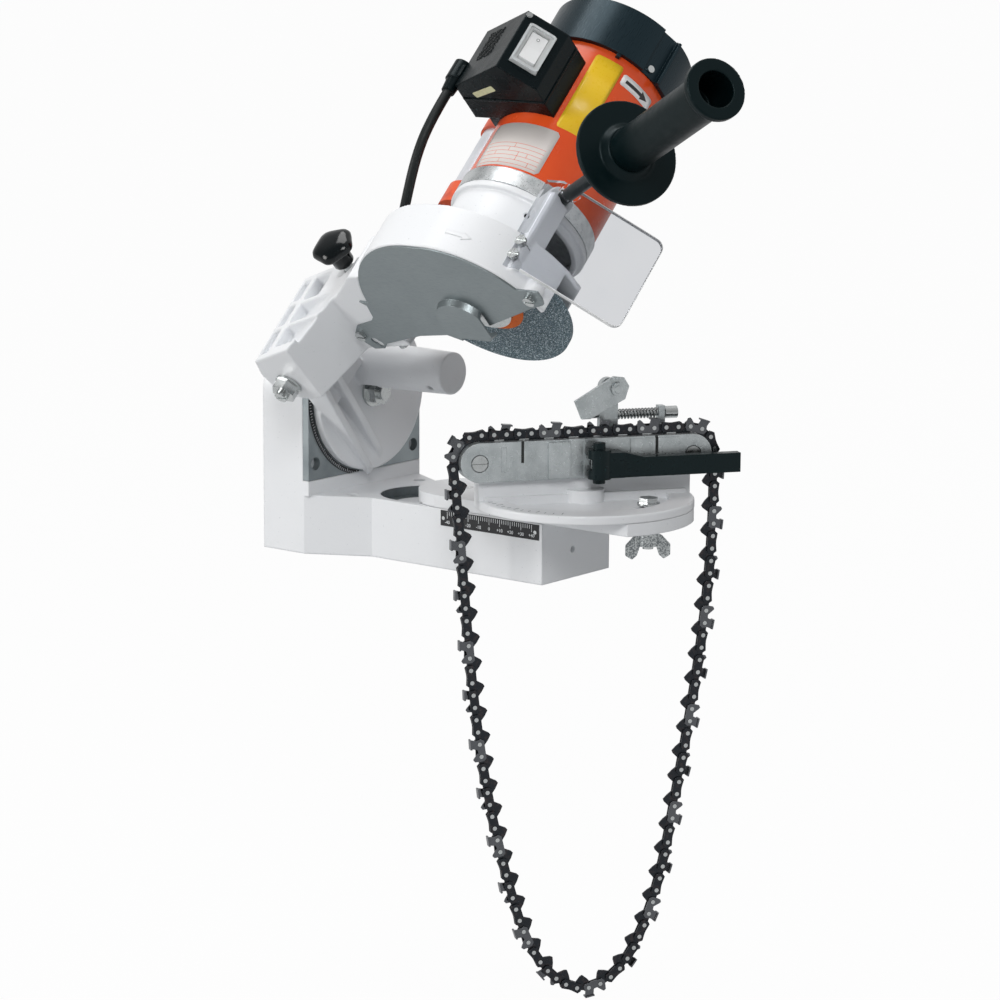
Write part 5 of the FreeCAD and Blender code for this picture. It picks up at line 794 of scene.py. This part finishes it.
# ---------------------------------------------------------------- mains lead
# Black rubber lead, 7.5 mm thick, out of the gland and down behind the guard, where the rest is wound up in
# a tied coil with its moulded plug.
rubber = finish("lead_rubber", (0.008, 0.011, 0.011), 0.48, Specular_IOR_Level=0.3)
gloss(rubber, grain(rubber, 0.004), 0.40, 0.56)
relief(rubber, grain(rubber, 0.0012), 0.00004)
LEAD_THICK = 0.0075
LEAD_ROUTE = [(0.0543, -0.214, 0.124), (0.0543, -0.214, 0.0965), (0.051, -0.205, 0.0705),
              (0.043, -0.183, 0.0455), (0.025, -0.155, 0.038), (0.003, -0.132, 0.041),
              (-0.007, -0.107, 0.041)]
COIL_CENTRE = (0.0305, -0.092, 0.041)
COIL_TURN = 0.038
# Each turn lies at its own place round the coil's middle line, outward and upward, and eases over to the
# next one in its last part. The fourth turn stops short.
POINTS_A_TURN, LAST_POINTS = 16, 13
COIL_LAYS = [(0.0052, 0.0000), (0.0000, -0.0052), (-0.0052, 0.0000), (0.0000, 0.0052)]
LAST_LAY = len(COIL_LAYS) - 1
START_TURN = math.radians(200)
EASE_FROM = 0.6
coil_points = []
for lay, (out_now, up_now) in enumerate(COIL_LAYS):
    out_next, up_next = COIL_LAYS[min(lay + 1, LAST_LAY)]
    for step in range(POINTS_A_TURN if lay < LAST_LAY else LAST_POINTS):
        share = step / POINTS_A_TURN
        ease = max(0.0, (share - EASE_FROM) / (1 - EASE_FROM)) if lay < LAST_LAY else 0.0
        out = COIL_TURN + out_now + (out_next - out_now) * ease
        up = up_now + (up_next - up_now) * ease
        turn = START_TURN - (lay + share) * 2 * math.pi
        coil_points.append((COIL_CENTRE[0] + out * math.cos(turn), COIL_CENTRE[1] + out * math.sin(turn),
                            COIL_CENTRE[2] + up))
# The last half turn is smaller, rises onto the coil and runs into the tail of the plug.
END_CENTRE = (0.0305, -0.100)
END_TURN = 0.030
END_RISE = (0.0462, 0.0625)
END_STEPS = 8
end_points = []
for step in range(END_STEPS + 1):
    share = step / END_STEPS
    turn = math.radians(-90 - 180 * share)
    up = END_RISE[0] + (END_RISE[1] - END_RISE[0]) * share * share * (3 - 2 * share)
    end_points.append((END_CENTRE[0] + END_TURN * math.cos(turn),
                       END_CENTRE[1] + END_TURN * math.sin(turn), up))
PLUG_TAIL = (0.0345, -0.0700, 0.0625)
lead_points = [head_frame @ Vector(point) for point in LEAD_ROUTE + coil_points + end_points + [PLUG_TAIL]]
lead_curve = bpy.data.curves.new("mains_lead", "CURVE")
lead_curve.dimensions = "3D"
lead_curve.bevel_depth = LEAD_THICK / 2
lead_curve.bevel_resolution = 5
lead_curve.resolution_u = 10
lead_curve.use_fill_caps = True
spline = lead_curve.splines.new("NURBS")
spline.points.add(len(lead_points) - 1)
for point, where in zip(spline.points, lead_points):
    point.co = (*where, 1)
spline.order_u = 3
spline.use_endpoint_u = True
lead = bpy.data.objects.new("mains_lead", lead_curve)
bpy.context.scene.collection.objects.link(lead)
lead_curve.materials.append(rubber)
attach(lead, "head")
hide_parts("mains_cord", "cord_coil")
dress("mains_plug", rubber)


# ---------------------------------------------------------------- coil ties
# Two black nylon ties, 3.6 mm wide, pulled tight round the wound lead so that its turns stay together. They
# are smooth and faintly shiny.
tie_nylon = finish("tie_nylon", (0.010, 0.012, 0.012), 0.35)
gloss(tie_nylon, grain(tie_nylon, 0.002), 0.28, 0.42)
TIE_HALF, TIE_INSIDE, TIE_OUTSIDE = 0.0018, 0.0094, 0.0101
TIE_STEPS = 24
bm = bmesh.new()
for tie_turn in (130, 20):
    around = math.radians(tie_turn)
    radial = Vector((math.cos(around), math.sin(around), 0))
    tangent = Vector((-math.sin(around), math.cos(around), 0))
    loops = []
    for wide, out in ((-TIE_HALF, TIE_INSIDE), (TIE_HALF, TIE_INSIDE), (TIE_HALF, TIE_OUTSIDE),
                      (-TIE_HALF, TIE_OUTSIDE)):
        loop = []
        for step in range(TIE_STEPS):
            bend = 2 * math.pi * step / TIE_STEPS
            spot = (Vector(COIL_CENTRE) + radial * (COIL_TURN + out * math.cos(bend))
                    + Vector((0, 0, out * math.sin(bend))))
            loop.append(bm.verts.new(head_frame @ (spot + tangent * wide)))
        loops.append(loop)
    for one, two in zip(loops, loops[1:] + loops[:1]):
        band(bm, one, two)
add_piece("coil_ties", mesh_from(bm, "coil_ties", True), tie_nylon, "head")


# ---------------------------------------------------------------- handle
# Blackened steel rod clamped in the guard's side. It carries a moulded disc, which keeps the hand off the
# wheel, and a moulded grip with an open end. Both mouldings are black with a soft shine.
handle_black = finish("handle_black", (0.002, 0.007, 0.008), 0.34, Specular_IOR_Level=0.16,
                      Specular_Tint=(0.75, 0.95, 1.0, 1))
gloss(handle_black, grain(handle_black, 0.006), 0.28, 0.42)
relief(handle_black, grain(handle_black, 0.0012), 0.00004, 0.0010)
for moulding in ("hand_guard", "grip"):
    softened(moulding, handle_black, "head", voxel=0.0006, rubs=5)
black_rod = finish("black_rod", (0.012, 0.018, 0.020), 0.40, Specular_IOR_Level=0.35)
gloss(black_rod, grain(black_rod, 0.003), 0.32, 0.48)
relief(black_rod, grain(black_rod, 0.001), 0.00003, 0.0004)
dress("handle_rod", black_rod)


# ---------------------------------------------------------------- eye shield
# Bent sheet of clear acrylic, 3 mm thick and faintly grey, screwed to the guard's side. Its sawn edges are
# matt and look pale, so they are laid on as a thin channel.
acrylic = finish("clear_acrylic", (0.66, 0.67, 0.69), 0.02, 0.0, Transmission_Weight=1.0, IOR=1.09)
gloss(acrylic, grain(acrylic, 0.02), 0.0, 0.02)
patches(acrylic, 0.03, (0.63, 0.645, 0.67), 0.5)
dress("visor", acrylic)
sawn_edge = finish("sawn_edge", (0.88, 0.885, 0.89), 0.5, 0.0, Specular_IOR_Level=0.2)
patches(sawn_edge, 0.004, (0.74, 0.76, 0.77), 0.6)
visor_frame = on_head((0.184, -0.197, 0), 47.5)
SHEET_FROM, SHEET_LONG, SHEET_LOW, SHEET_HIGH = 0.004, 0.084, -0.013, 0.064
SHEET_THICK, SHEET_CORNER = 0.003, 0.007
BEND_STEPS = 6
edge_path = [(SHEET_FROM, SHEET_HIGH, 0, 1)]
for centre_z, start in ((SHEET_HIGH - SHEET_CORNER, 90), (SHEET_LOW + SHEET_CORNER, 0)):
    for step in range(BEND_STEPS + 1):
        bend = math.radians(start - 90 * step / BEND_STEPS)
        edge_path.append((SHEET_LONG - SHEET_CORNER + SHEET_CORNER * math.cos(bend),
                          centre_z + SHEET_CORNER * math.sin(bend), math.cos(bend), math.sin(bend)))
edge_path.append((SHEET_FROM, SHEET_LOW, 0, -1))
# Section of the channel: how far past the sheet's edge, and how deep from its face.
OVERLAP, CHANNEL_WALL, CHANNEL_BACK, CHANNEL_IN = -0.0004, 0.0001, 0.0002, 0.00002
channel = [(OVERLAP, -CHANNEL_WALL), (CHANNEL_BACK, -CHANNEL_WALL),
           (CHANNEL_BACK, SHEET_THICK + CHANNEL_WALL), (OVERLAP, SHEET_THICK + CHANNEL_WALL),
           (OVERLAP, SHEET_THICK + CHANNEL_IN), (CHANNEL_WALL, SHEET_THICK + CHANNEL_IN),
           (CHANNEL_WALL, -CHANNEL_IN), (OVERLAP, -CHANNEL_IN)]
bm = bmesh.new()
rows = [[bm.verts.new(visor_frame @ Vector((x + out_x * past, deep, z + out_z * past)))
         for past, deep in channel] for x, z, out_x, out_z in edge_path]
for one, two in zip(rows, rows[1:]):
    band(bm, one, two)
bm.faces.new(rows[0])
bm.faces.new(rows[-1][::-1])
add_piece("visor_edge", mesh_from(bm, "visor_edge"), sawn_edge, "head")


# ---------------------------------------------------------------- cross slide and swivel table
# The cast slide runs in the deck and carries the round swivel table, both in white enamel with printed
# marks. A sand-cast zinc wing nut below clamps the table.
table_enamel = enamel("table_enamel", 0.0012, 0.08)
for casting in ("slide_arm", "swivel_plate"):
    dress(casting, table_enamel)
print_grey = finish("print_grey", (0.12, 0.14, 0.15), 0.5)
gloss(print_grey, grain(print_grey, 0.001), 0.45, 0.6)
VISE_TURN = math.radians(35)
vise_frame = Matrix.Translation((0.1333, 0, 0)) @ Matrix.Rotation(-VISE_TURN, 4, "Z")
RIM_TOP = 0.0620
MARK_OUTSIDE, MARK_LONG, MARK_SHORT = 0.0760, 0.0700, 0.0725
bm = bmesh.new()
for degree in range(-60, 62, 5):
    turn = math.radians(-90 + degree)
    away = Vector((math.cos(turn), math.sin(turn), 0))
    side = Vector((-math.sin(turn), math.cos(turn), 0)) * DEGREE_HALF
    centre = Vector((0, 0, RIM_TOP))
    inside = MARK_LONG if degree % 15 == 0 else MARK_SHORT
    corners = [centre + away * inside - side, centre + away * MARK_OUTSIDE - side,
               centre + away * MARK_OUTSIDE + side, centre + away * inside + side]
    plate_into(bm, [vise_frame @ corner for corner in corners], (0, 0, 1), LINE_THICK)
add_piece("swivel_marks", mesh_from(bm, "swivel_marks"), print_grey, "vise")
INDEX_FACE, INDEX_LEFT, INDEX_RIGHT, INDEX_LOW, INDEX_HIGH = -0.0412, 0.0768, 0.0772, 0.0465, 0.0530
bm = bmesh.new()
plate_into(bm, [(INDEX_LEFT, INDEX_FACE, INDEX_LOW), (INDEX_RIGHT, INDEX_FACE, INDEX_LOW),
                (INDEX_RIGHT, INDEX_FACE, INDEX_HIGH), (INDEX_LEFT, INDEX_FACE, INDEX_HIGH)],
           (0, -1, 0), LINE_THICK)
add_piece("slide_index", mesh_from(bm, "slide_index"), print_grey, "cross_slide")
cast_zinc = finish("cast_zinc", (0.60, 0.64, 0.65), 0.34, 0.85)
patches(cast_zinc, 0.012, (0.40, 0.44, 0.45), 0.6, 0.38, 0.68)
gloss(cast_zinc, grain(cast_zinc, 0.0014), 0.24, 0.46)
relief(cast_zinc, grain(cast_zinc, 0.0010), 0.00008, 0.0008)
sand_zinc = finish("sand_zinc", (0.60, 0.63, 0.63), 0.32, 0.85)
sand_grain = grain(sand_zinc, 0.0011, detail=1.0)
stain(sand_zinc, spread(sand_zinc, sand_grain, 0.42, 0.60), (0.22, 0.24, 0.25))
gloss(sand_zinc, sand_grain, 0.24, 0.5)
relief(sand_zinc, sand_grain, 0.00012)
softened("wing_nut", sand_zinc, "wing_nut", voxel=0.0005, rubs=10)


# ---------------------------------------------------------------- chain vise
# Two die-cast zinc rails with slotted screws grip the chain's drive links. A cam lever in black enamel
# closes them, and a sprung stop behind sets the tooth that is ground.
for casting in ("back_rail", "front_rail", "stop_slide", "chain_stop"):
    dress(casting, cast_zinc)
# The slits in the front rail are deep and lie in shade, so the thin dark strip laid in each is painted shade.
painted_slit_shade = finish("painted_slit_shade", (0.020, 0.022, 0.022), 0.6)
gloss(painted_slit_shade, grain(painted_slit_shade, 0.001), 0.5, 0.7)
RAIL_FACE, RAIL_TOP, SLIT_THICK = 0.0068, 0.1061, 0.0003
bm = bmesh.new()
for slit_from, slit_to, slit_low in ((-0.0510, -0.0488, 0.0902), (0.0525, 0.0547, 0.0922)):
    corners = [(RAIL_FACE, slit_from, slit_low), (RAIL_FACE, slit_to, slit_low),
               (RAIL_FACE, slit_to, RAIL_TOP), (RAIL_FACE, slit_from, RAIL_TOP)]
    plate_into(bm, [vise_frame @ Vector(corner) for corner in corners],
               vise_frame.to_3x3() @ Vector((1, 0, 0)), SLIT_THICK)
add_piece("rail_slits", mesh_from(bm, "rail_slits"), painted_slit_shade, "jaw")
lever_black = finish("lever_black", (0.003, 0.009, 0.010), 0.30, Specular_IOR_Level=0.25,
                     Specular_Tint=(0.80, 0.95, 1.0, 1))
gloss(lever_black, grain(lever_black, 0.004), 0.24, 0.40)
relief(lever_black, grain(lever_black, 0.0012), 0.00006, 0.0008)
dress("clamp_lever", lever_black)


# ---------------------------------------------------------------- saw chain
# Blued steel links, 3/8 inch from rivet to rivet, stamped from strip and riveted with bright pins. The
# cutters' tops are hard chromed and a little lighter than the links.
blued = finish("blued_steel", (0.028, 0.032, 0.038), 0.28, 0.8)
patches(blued, 0.003, (0.070, 0.055, 0.055), 0.6, 0.5, 0.68)
gloss(blued, grain(blued, 0.0012), 0.20, 0.36)
relief(blued, grain(blued, 0.0008), 0.00003, 0.0003)
for links in ("chain_drive_links", "chain_tie_straps"):
    dress(links, blued)
chromed = finish("chromed_steel", (0.13, 0.135, 0.145), 0.24, 1.0)
gloss(chromed, grain(chromed, 0.0015), 0.16, 0.32)
relief(chromed, grain(chromed, 0.0008), 0.00003, 0.0003)
dress("chain_cutters", chromed)
dress("chain_rivets", bright_zinc)
